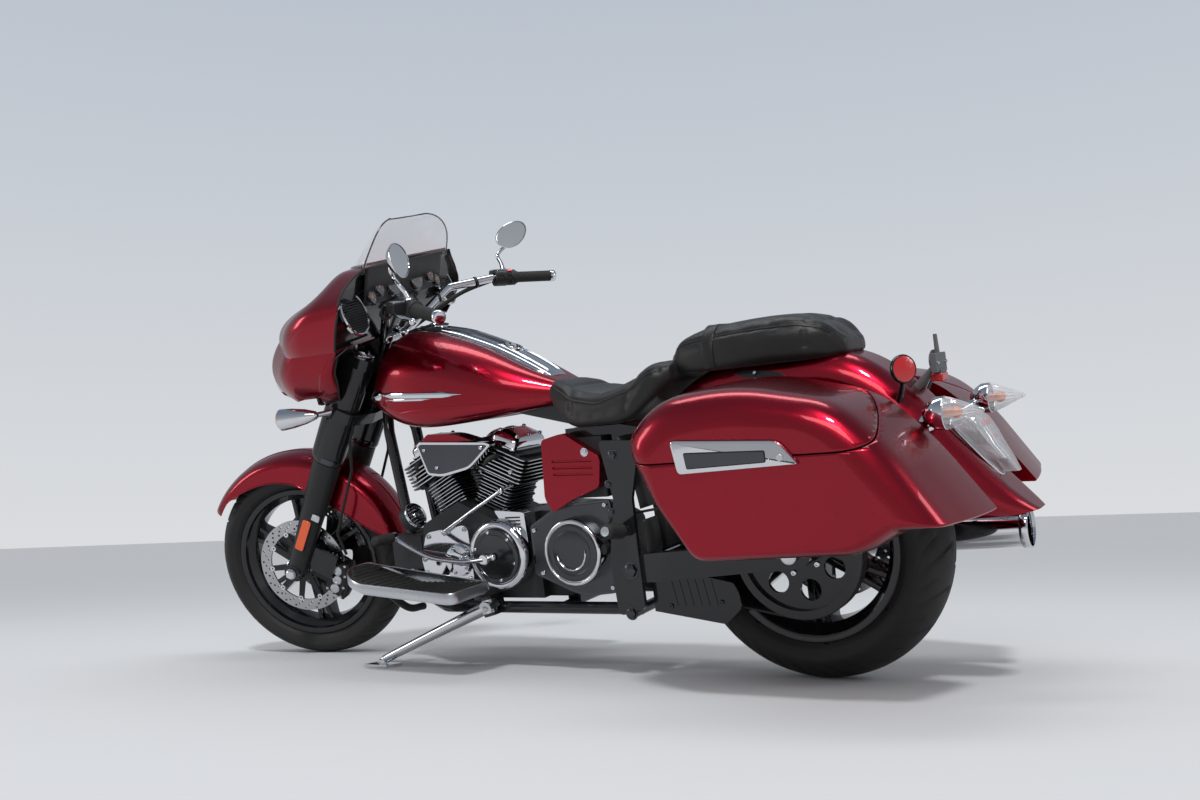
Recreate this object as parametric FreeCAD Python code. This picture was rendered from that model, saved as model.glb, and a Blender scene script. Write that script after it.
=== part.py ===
import FreeCAD, Part
import math
import os
from FreeCAD import Placement, Rotation
from FreeCAD import Vector as V

# Touring cruiser motorcycle with a fork-mounted fairing, parked leaning on its side stand.
# Lengths are millimetres and angles degrees. Pieces are drawn on the upright bike: X ahead of the rear
# axle, Y to the rider's left, Z up from the ground, steering straight. They are then steered, leaned and
# set on the floor as the parked bike stands.

# Stance of the parked bike
WHEELBASE = 1715.0
RAKE = 31.3
TRAIL = 152.0
LEAN = 9.0
REST_STEER = 18.0
ORIGIN_AHEAD = 748.0      # floor point under the middle of the bike, measured ahead of the rear axle
ORIGIN_LEFT = 87.0        # and left of the tyres' contact line

# Wheels and tyres
FRONT_R, FRONT_W, FRONT_CROWN = 320.0, 130.0, 75.0
REAR_R, REAR_W, REAR_CROWN = 330.0, 190.0, 110.0
FRONT_SEAT, FRONT_RIM_HALF = 228.6, 52.0
REAR_SEAT, REAR_RIM_HALF = 215.9, 82.0
FLANGE = 13.0
TYRE_WALL = 9.0
BEAD_GAP = 0.3            # rubber stays this clear of the rim
SPOKE_PAIRS = 6
AXLE_R = 12.5
AXLE_BORE_R = 7.0
RUNNING = 0.08            # radial clearance of turning fits
FACE_GAP = 0.5            # clearance between flat faces of bodies that turn on each other

# Brakes
FRONT_DISC_R, FRONT_DISC_Y, FRONT_DISC_IN = 149.0, 78.0, 113.0
REAR_DISC_R, REAR_DISC_Y, REAR_DISC_IN = 160.0, 108.0, 118.0
DISC_THICK = 5.0
BOBBINS = 10

# Fork and steering head, measured on the fork's own frame
FORK_Y = 118.0
LEG_R = 29.0
AXLE_LUG_Y = 87.0         # inner face of the legs' axle lugs
COVER_R = 36.0
COVER_FROM, COVER_TO = 395.0, 745.0
CLAMP_LOW, CLAMP_HIGH, CLAMP_THICK = 535.0, 745.0, 34.0
STEM_R, HEAD_R = 17.0, 36.0

# Final drive and swingarm
PULLEY_R, PULLEY_Y, BELT_W, BELT_THICK, BELT_GAP = 156.0, 118.0, 28.0, 5.0, 0.3
OUTPUT_X, OUTPUT_Z, OUTPUT_R = 592.0, 349.0, 62.0
ARM_IN, ARM_OUT = 141.0, 172.0
PIVOT_X, PIVOT_Z = 425.0, 300.0

# Engine
CRANK_X, CRANK_Z = 1007.0, 306.0
BANK = 24.0               # each cylinder leans this far from vertical
BARREL_FROM, BARREL_TO, HEAD_TO, ROCKER_TO = 165.0, 272.0, 352.0, 393.0
FIN_THICK = 3.4
CLUTCH_X, CLUTCH_Z, CLUTCH_R = 850.0, 342.0, 96.0
CASE_Y = 120.0
DECK_HALF = 75.0

# Frame
RAIL_Y, RAIL_Z, RAIL_R = 130.0, 192.0, 16.0
BEAM_HALF = 32.0

# Bodywork
SHELL = 4.0
FENDER_HALF = 82.0
FENDER_R = 358.0
REAR_FENDER_HALF = 113.0
STRUT_OUT = 127.0
BAG_IN, BAG_OUT, BAG_WALL = 203.0, 500.0, 4.0
HINGE_Y, HINGE_Z, HINGE_R, HINGE_PIN_R = 197.0, 699.0, 5.0, 2.5
SEAM_OUT_Z = 592.0        # height of the lid's seam at the bag's outer face
LID_GAP = 1.2

# Handlebar
BAR_R, GRIP_R = 12.7, 17.0

# Side stand
STAND = V(896, 172, 204)
STAND_FOOT = V(1264, 222, 54)
STAND_TILT = 12.0         # its pivot leans this far ahead of upright
STAND_PIN_R, STAND_HUB_R, STAND_HUB_H = 8.0, 19.0, 36.0

OUT = "parts"
RAKE_RAD = math.radians(RAKE)
ALONG_FORK = V(-math.sin(RAKE_RAD), 0, math.cos(RAKE_RAD))
AHEAD_OF_FORK = V(math.cos(RAKE_RAD), 0, math.sin(RAKE_RAD))
LEFT = V(0, 1, 0)
FRONT_AXLE = V(WHEELBASE, 0, FRONT_R)
REAR_AXLE = V(0, 0, REAR_R)
STEER_GROUND = V(WHEELBASE + TRAIL, 0, 0)
LEG_X = (FRONT_AXLE - STEER_GROUND).dot(AHEAD_OF_FORK)
FORK_FRAME = Placement(FRONT_AXLE - AHEAD_OF_FORK * LEG_X, Rotation(LEFT, -RAKE))


# Outlines and solids
def unit(v):
    return v * (1.0 / v.Length)


def rounded_wire(points, radii, closed=True):
    """Lines through the points, each corner replaced by a tangent arc of its radius."""
    count = len(points)
    radii = list(radii) if isinstance(radii, (list, tuple)) else [radii] * count
    corners = []
    for i, p in enumerate(points):
        if radii[i] == 0 or (not closed and i in (0, count - 1)):
            corners.append((p, None, p))
            continue
        back = unit(points[i - 1] - p)
        on = unit(points[(i + 1) % count] - p)
        half = back.getAngle(on) / 2
        reach = radii[i] / math.tan(half)
        bend = p + unit(back + on) * (radii[i] / math.sin(half) - radii[i])
        corners.append((p + back * reach, bend, p + on * reach))
    edges = []
    for i, (start, bend, end) in enumerate(corners):
        if bend is not None:
            edges.append(Part.Arc(start, bend, end).toShape())
        if closed or i < count - 1:
            following = corners[(i + 1) % count][0]
            if (following - end).Length > 1e-6:
                edges.append(Part.makeLine(end, following))
    return Part.Wire(edges)


def loft(wires, ruled=False):
    return Part.makeLoft(wires, True, ruled)


def plate(points, radii, y0, y1):
    """Side-view outline of (x, z) points, as thick as from y0 to y1."""
    wire = rounded_wire([V(x, y0, z) for x, z in points], radii)
    return Part.Face(wire).extrude(V(0, y1 - y0, 0))


def box(x0, x1, y0, y1, z0, z1):
    return Part.makeBox(x1 - x0, y1 - y0, z1 - z0, V(x0, y0, z0))


def rod(start, end, radius):
    return Part.makeCylinder(radius, (end - start).Length, start, end - start)


def cone(start, end, r0, r1):
    return Part.makeCone(r0, r1, (end - start).Length, start, end - start)


def bent_tube(points, bend, radius):
    """Round tube through the points, with tangent bends."""
    path = rounded_wire(points, bend, closed=False)
    circle = Part.Wire(Part.makeCircle(radius, points[0], points[1] - points[0]))
    return path.makePipeShell([circle], True, True)


def mirrored(shape):
    return shape.mirror(V(0, 0, 0), LEFT)


def both(shape):
    return [shape, mirrored(shape)]


def joined(first, *others):
    return first.fuse(list(others)).removeSplitter()


def largest(shape):
    """The main solid left after cutting a piece to its neighbours."""
    return max(shape.Solids, key=lambda s: s.Volume)


def spun(profile, start=0.0, sweep=360.0, centre=V(0, 0, 0)):
    """Solid of a (y, r) outline turned about a wheel's axis. Angles run from ahead, up and over."""
    face = Part.Face(Part.Wire(profile)).rotated(V(0, 0, 0), LEFT, 90.0 - start)
    return face.revolve(V(0, 0, 0), LEFT, -sweep).translated(centre)


def polygon(points):
    """Closed outline of straight edges through (y, r) points."""
    corners = [V(0, y, r) for y, r in points]
    return [Part.makeLine(a, b) for a, b in zip(corners, corners[1:] + corners[:1])]


def ring(r_in, r_out, y0, y1, centre=V(0, 0, 0)):
    return spun(polygon([(y0, r_in), (y1, r_in), (y1, r_out), (y0, r_out)]), centre=centre)


def around(shape, count, start=0.0):
    """Copies of a piece, evenly spaced about a wheel's axis."""
    return [shape.rotated(V(0, 0, 0), LEFT, start + 360.0 / count * i) for i in range(count)]


def on_fork(shape):
    """A piece drawn on the fork's frame: x ahead of the steering axis, z up the legs from the axle."""
    return shape.transformed(FORK_FRAME.toMatrix(), True)


def upright_section(x, half, z0, z1, low_bend, high_bend):
    """Rounded outline across the bike at one x."""
    return rounded_wire([V(x, -half, z0), V(x, half, z0), V(x, half, z1), V(x, -half, z1)],
                        [low_bend, low_bend, high_bend, high_bend])


def level_section(z, front, back, half, bend):
    """Outline at one height, rounded at its back."""
    return rounded_wire([V(front, -half, z), V(front, half, z), V(back, half, z), V(back, -half, z)],
                        [0, 0, bend, bend])


# Stance: steering turned, bike leaned, then both tyres brought to the floor
def lowest_of_tyre(place, centre, across, radius, crown):
    axis = place.Rotation.multVec(across)
    return place.multVec(centre).z - (radius - crown) * math.sqrt(1 - axis.z ** 2) - crown


def parked():
    """Placement that carries the upright bike to its parked stance over the origin."""
    turn = Rotation(ALONG_FORK, REST_STEER)
    front_centre = STEER_GROUND + turn.multVec(FRONT_AXLE - STEER_GROUND)
    lean = Rotation(V(1, 0, 0), -LEAN)
    pitch, lift = 0.0, 0.0
    for _ in range(5):
        place = Placement(V(0, 0, lift), Rotation(LEFT, pitch).multiply(lean))
        rear = lowest_of_tyre(place, REAR_AXLE, LEFT, REAR_R, REAR_CROWN)
        front = lowest_of_tyre(place, front_centre, turn.multVec(LEFT), FRONT_R, FRONT_CROWN)
        lift -= rear
        pitch += math.degrees((front - rear) / front_centre.x)
    place = Placement(V(0, 0, lift), Rotation(LEFT, pitch).multiply(lean))
    place.Base = place.Base - V(ORIGIN_AHEAD, ORIGIN_LEFT, 0)
    return place


PARKED = parked()


def emit(name, shapes, steering=False):
    """Write one sub-part's solids to its STEP file, where they stand on the parked bike."""
    solids = [s for shape in shapes for s in shape.Solids]
    if steering:
        solids = [s.rotated(STEER_GROUND, ALONG_FORK, REST_STEER) for s in solids]
    placed = [s.transformed(PARKED.toMatrix(), True) for s in solids]
    whole = placed[0] if len(placed) == 1 else Part.makeCompound(placed)
    whole.exportStep(os.path.join(OUT, name + ".step"))


# Wheels
def tyre(radius, width, crown, seat, rim_half):
    """Carcass with a round crown, bulging sidewalls and beads, open towards the rim."""
    bead_y, foot = rim_half - 5 - BEAD_GAP, seat + BEAD_GAP
    top = seat + FLANGE + 2
    inner_y, inner_w, inner_crown = bead_y - TYRE_WALL, width / 2 - TYRE_WALL + 1, crown - TYRE_WALL
    outer_s = radius - crown + math.sqrt(crown ** 2 - (width / 2) ** 2)
    inner_s = radius - crown + math.sqrt(inner_crown ** 2 - inner_w ** 2)
    outer_m = ((width / 2 + bead_y) / 2 + 5, (outer_s + top) / 2)
    inner_m = ((inner_w + inner_y) / 2 + 5, (inner_s + top) / 2)

    def arc(*ends):
        return Part.Arc(*[V(0, y, r) for y, r in ends]).toShape()

    def line(a, b):
        return Part.makeLine(V(0, *a), V(0, *b))
    w, e = width / 2, inner_w
    return spun([
        line((bead_y, foot), (bead_y, top)),
        arc((bead_y, top), outer_m, (w, outer_s)),
        arc((w, outer_s), (0, radius), (-w, outer_s)),
        arc((-w, outer_s), (-outer_m[0], outer_m[1]), (-bead_y, top)),
        line((-bead_y, top), (-bead_y, foot)),
        line((-bead_y, foot), (-inner_y, foot)),
        line((-inner_y, foot), (-inner_y, top)),
        arc((-inner_y, top), (-inner_m[0], inner_m[1]), (-e, inner_s)),
        arc((-e, inner_s), (0, radius - TYRE_WALL), (e, inner_s)),
        arc((e, inner_s), inner_m, (inner_y, top)),
        line((inner_y, top), (inner_y, foot)),
        line((inner_y, foot), (bead_y, foot)),
    ])


def cast_wheel(seat, rim_half, hub_r, hub_half):
    """Rim with flanges and a dropped well, paired tapering spokes, and a bored hub."""
    well, skin = 20.0, 6.0
    top = [(rim_half, seat + FLANGE), (rim_half - 5, seat + FLANGE), (rim_half - 5, seat),
           (rim_half * 0.55, seat), (rim_half * 0.35, seat - well)]
    under = [(rim_half, seat - skin), (rim_half * 0.6, seat - skin), (rim_half * 0.38, seat - well - skin)]
    outline = top + [(-y, r) for y, r in reversed(top)]
    outline += [(-y, r) for y, r in under] + [(y, r) for y, r in reversed(under)]
    rim = spun(polygon(outline))
    hub = ring(AXLE_R + RUNNING, hub_r, -hub_half, hub_half)
    foot_r, tip_r = hub_r - 4, seat - well - skin + 3
    stations = [(foot_r, 11, hub_half * 0.6, 5), (foot_r + 0.5 * (tip_r - foot_r), 7, rim_half * 0.42, 4),
                (tip_r, 9, rim_half * 0.36, 4)]
    blade = loft([rounded_wire([V(-w, -y, r), V(w, -y, r), V(w, y, r), V(-w, y, r)], bend)
                  for r, w, y, bend in stations])
    spokes = around(blade, SPOKE_PAIRS, 9.0) + around(blade, SPOKE_PAIRS, -9.0)
    return joined(rim, hub, *spokes)


def rotor(radius, inner, y):
    """Brake disc with its drive bobbins."""
    disc = ring(inner, radius, y - DISC_THICK / 2, y + DISC_THICK / 2)
    bobbin = rod(V(0, y - DISC_THICK / 2 - 1.5, inner + 1), V(0, y + DISC_THICK / 2 + 1.5, inner + 1), 7.0)
    return joined(disc, *around(bobbin, BOBBINS))


def carrier(y, hub_r, inner, disc):
    """Arms between the hub and a rotor's bobbins."""
    collar = ring(AXLE_R + 8, hub_r + 12, y - 2.5, y + 2.5)
    arm = box(-9, 9, y - 2.5, y + 2.5, hub_r + 6, inner + 1)
    return joined(collar, *around(arm, BOBBINS)).cut(disc)


def front_wheel():
    discs = [rotor(FRONT_DISC_R, FRONT_DISC_IN, side * FRONT_DISC_Y) for side in (1, -1)]
    wheel = cast_wheel(FRONT_SEAT, FRONT_RIM_HALF, 40.0, FRONT_DISC_Y - 2.5)
    carriers = [carrier(side * FRONT_DISC_Y, 40.0, FRONT_DISC_IN, disc) for side, disc in zip((1, -1), discs)]
    rubber = tyre(FRONT_R, FRONT_W, FRONT_CROWN, FRONT_SEAT, FRONT_RIM_HALF)
    emit("front_rim", [joined(wheel, *carriers).translated(FRONT_AXLE)], steering=True)
    emit("front_tyre", [rubber.translated(FRONT_AXLE)], steering=True)
    emit("front_discs", [d.translated(FRONT_AXLE) for d in discs], steering=True)


def rear_wheel():
    half = BELT_W / 2
    disc = rotor(REAR_DISC_R, REAR_DISC_IN, -REAR_DISC_Y)
    hub_half = REAR_DISC_Y - 2.5
    wheel = joined(cast_wheel(REAR_SEAT, REAR_RIM_HALF, 48.0, hub_half),
                   carrier(-REAR_DISC_Y, 48.0, REAR_DISC_IN, disc))
    pulley = joined(ring(PULLEY_R - 14, PULLEY_R, PULLEY_Y - half, PULLEY_Y + half),
                    ring(PULLEY_R - 14, PULLEY_R + 4, PULLEY_Y + half, PULLEY_Y + half + 2.5),
                    ring(AXLE_R + RUNNING, 56, hub_half, PULLEY_Y + half),
                    *around(box(-8, 8, PULLEY_Y - 9, PULLEY_Y + 9, 52, PULLEY_R - 10), 7))
    rubber = tyre(REAR_R, REAR_W, REAR_CROWN, REAR_SEAT, REAR_RIM_HALF)
    for name, shape in (("rear_rim", wheel), ("rear_tyre", rubber), ("rear_disc", disc), ("rear_pulley", pulley)):
        emit(name, [shape.translated(REAR_AXLE)])


# Fork, clamps and front brakes
def fork_leg():
    foot_end = V(LEG_X, FORK_Y, -30)
    leg = joined(
        rod(V(LEG_X, FORK_Y, -16), V(LEG_X, FORK_Y, COVER_FROM + 20), LEG_R),
        cone(foot_end, V(LEG_X, FORK_Y, -16), LEG_R * 0.7, LEG_R),
        rod(V(LEG_X, AXLE_LUG_Y, 0), V(LEG_X, FORK_Y + LEG_R + 4, 0), 25),
        rod(V(LEG_X, FORK_Y, COVER_FROM), V(LEG_X, FORK_Y, COVER_TO), COVER_R),
        rod(V(LEG_X, FORK_Y, COVER_FROM - 6), V(LEG_X, FORK_Y, COVER_FROM + 8), COVER_R + 2),
        box(-78, LEG_X, 102, 114, 20, 96),
        rod(V(LEG_X, FENDER_HALF, 245), V(LEG_X, FORK_Y, 245), 13),
    )
    return on_fork(leg.cut(rod(V(LEG_X, 0, 0), V(LEG_X, 2 * FORK_Y, 0), AXLE_R)))


def clamp_plate(base):
    wide = FORK_Y + COVER_R + 9
    outline = [V(-36, -60, base), V(-36, 60, base), V(LEG_X - 42, wide, base), V(LEG_X + 44, wide, base),
               V(LEG_X + 44, -wide, base), V(LEG_X - 42, -wide, base)]
    blank = Part.Face(rounded_wire(outline, [24, 24, 30, 36, 36, 30])).extrude(V(0, 0, CLAMP_THICK))
    for side in (1, -1):
        bore = rod(V(LEG_X, side * FORK_Y, base - 5), V(LEG_X, side * FORK_Y, base + CLAMP_THICK + 5), COVER_R)
        blank = blank.cut(bore)
    return blank


def handlebar_path():
    centre = FORK_FRAME.multVec(V(4, 0, 792))
    left = [V(centre.x, 70, centre.z), V(1165, 222, 1088), V(1058, 338, 1088), V(905, 472, 1056)]
    return [V(p.x, -p.y, p.z) for p in reversed(left)] + left


BAR_PATH = handlebar_path()
BAR_BEND, BAR_END = BAR_PATH[-2], BAR_PATH[-1]
ALONG_GRIP = unit(BAR_END - BAR_BEND)
AHEAD_OF_GRIP = unit(V(ALONG_GRIP.y, -ALONG_GRIP.x, 0))
GRIP_LONG = (BAR_END - BAR_BEND).Length


def along_bar(distance):
    return BAR_BEND + ALONG_GRIP * distance


def steering():
    legs = both(fork_leg())
    bar = bent_tube(BAR_PATH, 45, BAR_R)
    risers = [rod(V(4, side * 46, CLAMP_HIGH - 2), V(4, side * 46, 792 + 14), 15) for side in (1, -1)]
    stem = rod(V(0, 0, CLAMP_LOW), V(0, 0, CLAMP_HIGH + 10), STEM_R)
    nut = rod(V(0, 0, CLAMP_HIGH - 4), V(0, 0, CLAMP_HIGH + 12), 22)
    clamps = joined(clamp_plate(CLAMP_LOW), clamp_plate(CLAMP_HIGH - CLAMP_THICK), stem, nut, *risers)
    shelf = box(1440, 1500, -40, 40, 790, 830)
    clamps = joined(on_fork(clamps), shelf).cut(bar)

    reach = FORK_Y + LEG_R + 8
    spacer = ring(AXLE_BORE_R, 20, FRONT_DISC_Y + DISC_THICK / 2 + FACE_GAP, AXLE_LUG_Y)
    axle = joined(ring(AXLE_BORE_R, AXLE_R, -reach, reach), ring(AXLE_BORE_R, 17, reach - 4, reach + 3),
                  ring(AXLE_BORE_R, 17, -reach - 3, 4 - reach), *both(spacer))

    near, far = FRONT_DISC_Y - 24, 102
    body = spun(polygon([(near, 100), (far, 100), (far, 170), (near, 170)]), start=150, sweep=42)
    slot = ring(60, FRONT_DISC_R + 4, FRONT_DISC_Y - 5, FRONT_DISC_Y + 5)
    caliper = on_fork(body.cut(slot).translated(V(LEG_X, 0, 0)))

    hose_y = FORK_Y + 8
    stops = [(-98, 106, 118), (-58, hose_y, 180), (-50, hose_y, 290), (-42, hose_y, 392), (-8, hose_y, 480),
             (-6, hose_y, CLAMP_LOW)]
    hose = bent_tube([FORK_FRAME.multVec(V(*p)) for p in stops], 25, 4.5)
    hose = largest(hose.cut(caliper).cut(legs[0]))

    emit("fork_legs", legs, steering=True)
    emit("triple_clamp", [clamps], steering=True)
    emit("handlebar", [bar], steering=True)
    emit("front_axle", [axle.translated(FRONT_AXLE)], steering=True)
    emit("front_calipers", both(caliper), steering=True)
    emit("brake_hoses", both(hose), steering=True)
    return legs, clamps, bar


def front_fender():
    """Shell concentric with the wheel, its valances cut to a sweeping lower edge."""
    def crown(half, outer, inner):
        shoulder = outer - 38
        return [Part.makeLine(V(0, half, inner), V(0, half, shoulder)),
                Part.Arc(V(0, half, shoulder), V(0, 0, outer), V(0, -half, shoulder)).toShape(),
                Part.makeLine(V(0, -half, shoulder), V(0, -half, inner)),
                Part.makeLine(V(0, -half, inner), V(0, half, inner))]
    outer = spun(crown(FENDER_HALF, FENDER_R, 214), start=36, sweep=136, centre=FRONT_AXLE)
    inner = spun(crown(FENDER_HALF - SHELL, FENDER_R - SHELL, 190), start=20, sweep=170, centre=FRONT_AXLE)
    below = [(420, 160), (274, 216), (201, 234), (-20, 262), (-42, 206), (-150, 190), (-281, 118), (-333, 48),
             (-420, 20), (-420, -100), (420, -100)]
    cutter = plate([(x + WHEELBASE, z + FRONT_R) for x, z in below], 0, -200, 200)
    emit("front_fender", [largest(outer.cut(inner).cut(cutter))], steering=True)


# Fairing, as level sections: height, nose, rear edge, half width
NACELLE_LEVELS = [(822, 1545, 1470, 130), (845, 1606, 1450, 182), (886, 1638, 1425, 222), (930, 1648, 1400, 248),
                  (1000, 1626, 1330, 264), (1060, 1566, 1290, 258), (1096, 1500, 1285, 230)]
WING_LEVELS = [(1000, 1560, 1262, 385), (1040, 1556, 1238, 410), (1085, 1524, 1215, 424), (1138, 1412, 1204, 404),
               (1180, 1345, 1188, 350), (1206, 1300, 1165, 292)]


def fairing_outline(z, nose, rear, half, wall=0.0, past=0.0):
    """Rounded outline of the fairing at one height, drawn a wall further in and past its straight rear edge."""
    depth = nose - rear
    shoulder, cheek = rear + depth * 0.55 - wall / 2, half * 0.93 - wall
    flare = half - wall + 0.07 * half * past / (depth * 0.55)
    corners = [(rear - past, flare), (shoulder, cheek), (nose - 1.2 * wall, half * 0.42 - wall / 2)]
    points = [V(x, y, z) for x, y in corners] + [V(x, -y, z) for x, y in reversed(corners)]
    bend = min(half, depth)
    radii = [0, bend * 0.45 - wall, bend * 0.3 - wall]
    return rounded_wire(points, radii + radii[::-1])


def fairing(legs, clamps, bar):
    outer, inner = [], []
    for levels in (NACELLE_LEVELS, WING_LEVELS):
        outer.append(loft([fairing_outline(*level) for level in levels]))
        lifted = [(z - (SHELL if i else -SHELL), nose, rear, half) for i, (z, nose, rear, half) in enumerate(levels)]
        inner.append(loft([fairing_outline(*level, wall=SHELL, past=60) for level in lifted]))
    outer, inner = outer[0].fuse(outer[1]), inner[0].fuse(inner[1])
    lamp_hole = rod(V(1500, 0, 922), V(1800, 0, 922), 74)
    clamp_gap = box(1200, 1333, -150, 150, 985, 1015)
    shell = largest(outer.cut(inner).cut(lamp_hole).cut(clamp_gap).cut(clamps))
    slab = loft([rounded_wire([V(rear + 14, -500, z), V(rear + 14, 500, z), V(rear + 22, 500, z),
                               V(rear + 22, -500, z)], 0)
                 for z, nose, rear, half in NACELLE_LEVELS[:4] + WING_LEVELS], True)
    panel = inner.common(slab)
    for other in legs + [clamps, bent_tube(BAR_PATH, 45, BAR_R + 2)]:
        panel = panel.cut(other)
    emit("fairing_outer", [shell], steering=True)
    emit("fairing_inner", [largest(panel)], steering=True)

    lamp = joined(rod(V(1600, 0, 922), V(1672, 0, 922), 74), cone(V(1560, 0, 922), V(1600, 0, 922), 50, 70))
    emit("headlamp", [largest(lamp.cut(shell))], steering=True)

    def bow(z, front, side_x, half):
        """Closed crescent of the windshield at one height."""
        left, right, thick = V(side_x, half, z), V(side_x, -half, z), V(-5, 0, 0)
        return Part.Wire([Part.Arc(left, V(front, 0, z), right).toShape(), Part.makeLine(right, right + thick),
                          Part.Arc(right + thick, V(front - 5, 0, z), left + thick).toShape(),
                          Part.makeLine(left + thick, left)])
    shield = loft([bow(1190, 1322, 1180, 292), bow(1255, 1262, 1150, 270), bow(1305, 1216, 1136, 215),
                   bow(1330, 1188, 1142, 140)])
    emit("windshield", [largest(shield.cut(outer))], steering=True)

    signal = joined(rod(V(1545, 215, 812), V(1585, 215, 812), 30), cone(V(1460, 215, 812), V(1545, 215, 812), 10, 30),
                    rod(V(1425, 130, 806), V(1530, 215, 812), 8))
    signal = largest(signal.cut(legs[0]).cut(clamps).cut(outer))
    emit("front_signals", both(signal), steering=True)


def controls(bar):
    grip = rod(along_bar(GRIP_LONG - 126), along_bar(GRIP_LONG - 4), GRIP_R)
    cap = rod(along_bar(GRIP_LONG - 4), along_bar(GRIP_LONG + 14), GRIP_R + 1.5)
    grip = joined(grip, cap).cut(bar)
    perch = along_bar(30)
    lever = bent_tube([perch, perch + AHEAD_OF_GRIP * 44, along_bar(70) + AHEAD_OF_GRIP * 56,
                       along_bar(GRIP_LONG - 4) + AHEAD_OF_GRIP * 62], 12, 6)
    pod = joined(rod(along_bar(14), along_bar(GRIP_LONG - 127), 25), lever).cut(bar)
    emit("grips", both(grip), steering=True)
    emit("control_pods", both(pod), steering=True)

    centre = V(998, 429, 1211)
    facing = unit(V(-1, -0.1, 0.05))
    back = centre - facing * 26
    head = joined(rod(centre - facing * 8, centre, 52), cone(back, centre - facing * 8, 20, 52))
    stem = bent_tube([along_bar(42) + V(0, 0, 20), along_bar(42) + V(10, 12, 70), back + facing * 6], 25, 7)
    base = rod(along_bar(42), along_bar(42) + V(0, 0, 34), 10)
    mirror = largest(joined(head, stem, base).cut(pod).cut(bar))
    emit("mirrors", both(mirror), steering=True)


# Frame and running gear
def on_stand(shape):
    """A piece drawn about the side stand's pivot, z along its axis."""
    return shape.transformed(Placement(STAND, Rotation(LEFT, STAND_TILT)).toMatrix(), True)


def frame():
    head = on_fork(rod(V(0, 0, CLAMP_LOW + CLAMP_THICK + FACE_GAP), V(0, 0, CLAMP_HIGH - CLAMP_THICK - FACE_GAP),
                       HEAD_R))
    bore = on_fork(rod(V(0, 0, CLAMP_LOW), V(0, 0, CLAMP_HIGH), STEM_R + RUNNING))
    beam = plate([(1352, 812), (1322, 880), (1000, 838), (640, 722), (520, 690), (520, 650), (640, 668), (1000, 760),
                  (1250, 770)], [0, 0, 60, 60, 0, 0, 60, 60, 40], -BEAM_HALF, BEAM_HALF)
    tube = bent_tube([V(1306, 30, 806), V(1286, 60, 700), V(1222, 62, 215), V(1080, RAIL_Y, RAIL_Z),
                      V(437, RAIL_Y, RAIL_Z)], 50, RAIL_R)
    crossings = [rod(V(x, -RAIL_Y, RAIL_Z), V(x, RAIL_Y, RAIL_Z), 12) for x in (690, 1060)]
    seats = [box(x - 20, x + 20, -60, 60, RAIL_Z, 215) for x in (690, 1060)]
    shelf = box(438, 610, -STRUT_OUT, STRUT_OUT, 640, 664)
    strut = plate([(470, 664), (440, 664), (330, 640), (-250, 606), (-250, 556), (330, 575), (470, 610)], 0,
                  REAR_FENDER_HALF, STRUT_OUT)
    side = plate([(478, 631), (359, 623), (398, 480), (398, 325), (396, 204), (474, 184), (482, 326), (452, 480)],
                 [12, 20, 0, 0, 14, 14, 0, 0], ARM_OUT, ARM_OUT + 12)
    ties = [rod(V(x, -ARM_OUT - 12, z), V(x, ARM_OUT + 12, z), 14) for x, z in ((437, RAIL_Z), (440, 592))]
    carriers = [box(x - 20, x + 20, STRUT_OUT, BAG_IN, 565, 592) for x in (110, -180)]
    peg = rod(V(430, ARM_OUT + 6, 399), V(430, 262, 412), 13)

    near, far = STAND_HUB_H / 2 + FACE_GAP, STAND_HUB_H / 2 + FACE_GAP + 8
    lug = [box(-21, 21, RAIL_Y - STAND.y, -24, -far, far)]
    for z0, z1 in ((near, far), (-far, -near)):
        lug += [box(-21, 21, RAIL_Y - STAND.y, 0, z0, z1), rod(V(0, 0, z0), V(0, 0, z1), 21)]
    lug = [on_stand(piece) for piece in lug]
    pin = on_stand(rod(V(0, 0, -far), V(0, 0, far), STAND_PIN_R))

    whole = joined(head, beam, tube, mirrored(tube), *crossings, *seats, shelf, strut, mirrored(strut), side,
                   mirrored(side), *ties, *lug, pin, peg, mirrored(peg), *carriers, *[mirrored(c) for c in carriers])
    return whole.cut(bore)


def side_stand():
    half = STAND_HUB_H / 2
    hub = on_stand(rod(V(0, 0, -half), V(0, 0, half), STAND_HUB_R))
    leg = cone(STAND, STAND_FOOT - unit(STAND_FOOT - STAND) * 12, 11, 10)
    foot_at = PARKED.multVec(STAND_FOOT)
    foot = box(foot_at.x - 42, foot_at.x + 42, foot_at.y - 30, foot_at.y + 34, 0, 8)
    riser = rod(V(foot_at.x, foot_at.y, 4), V(foot_at.x, foot_at.y, foot_at.z + 4), 14)
    foot = joined(foot, riser).transformed(PARKED.inverse().toMatrix(), True)
    bore = on_stand(rod(V(0, 0, -60), V(0, 0, 60), STAND_PIN_R + RUNNING))
    emit("stand_leg", [joined(hub, leg, foot).cut(bore)])


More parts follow.
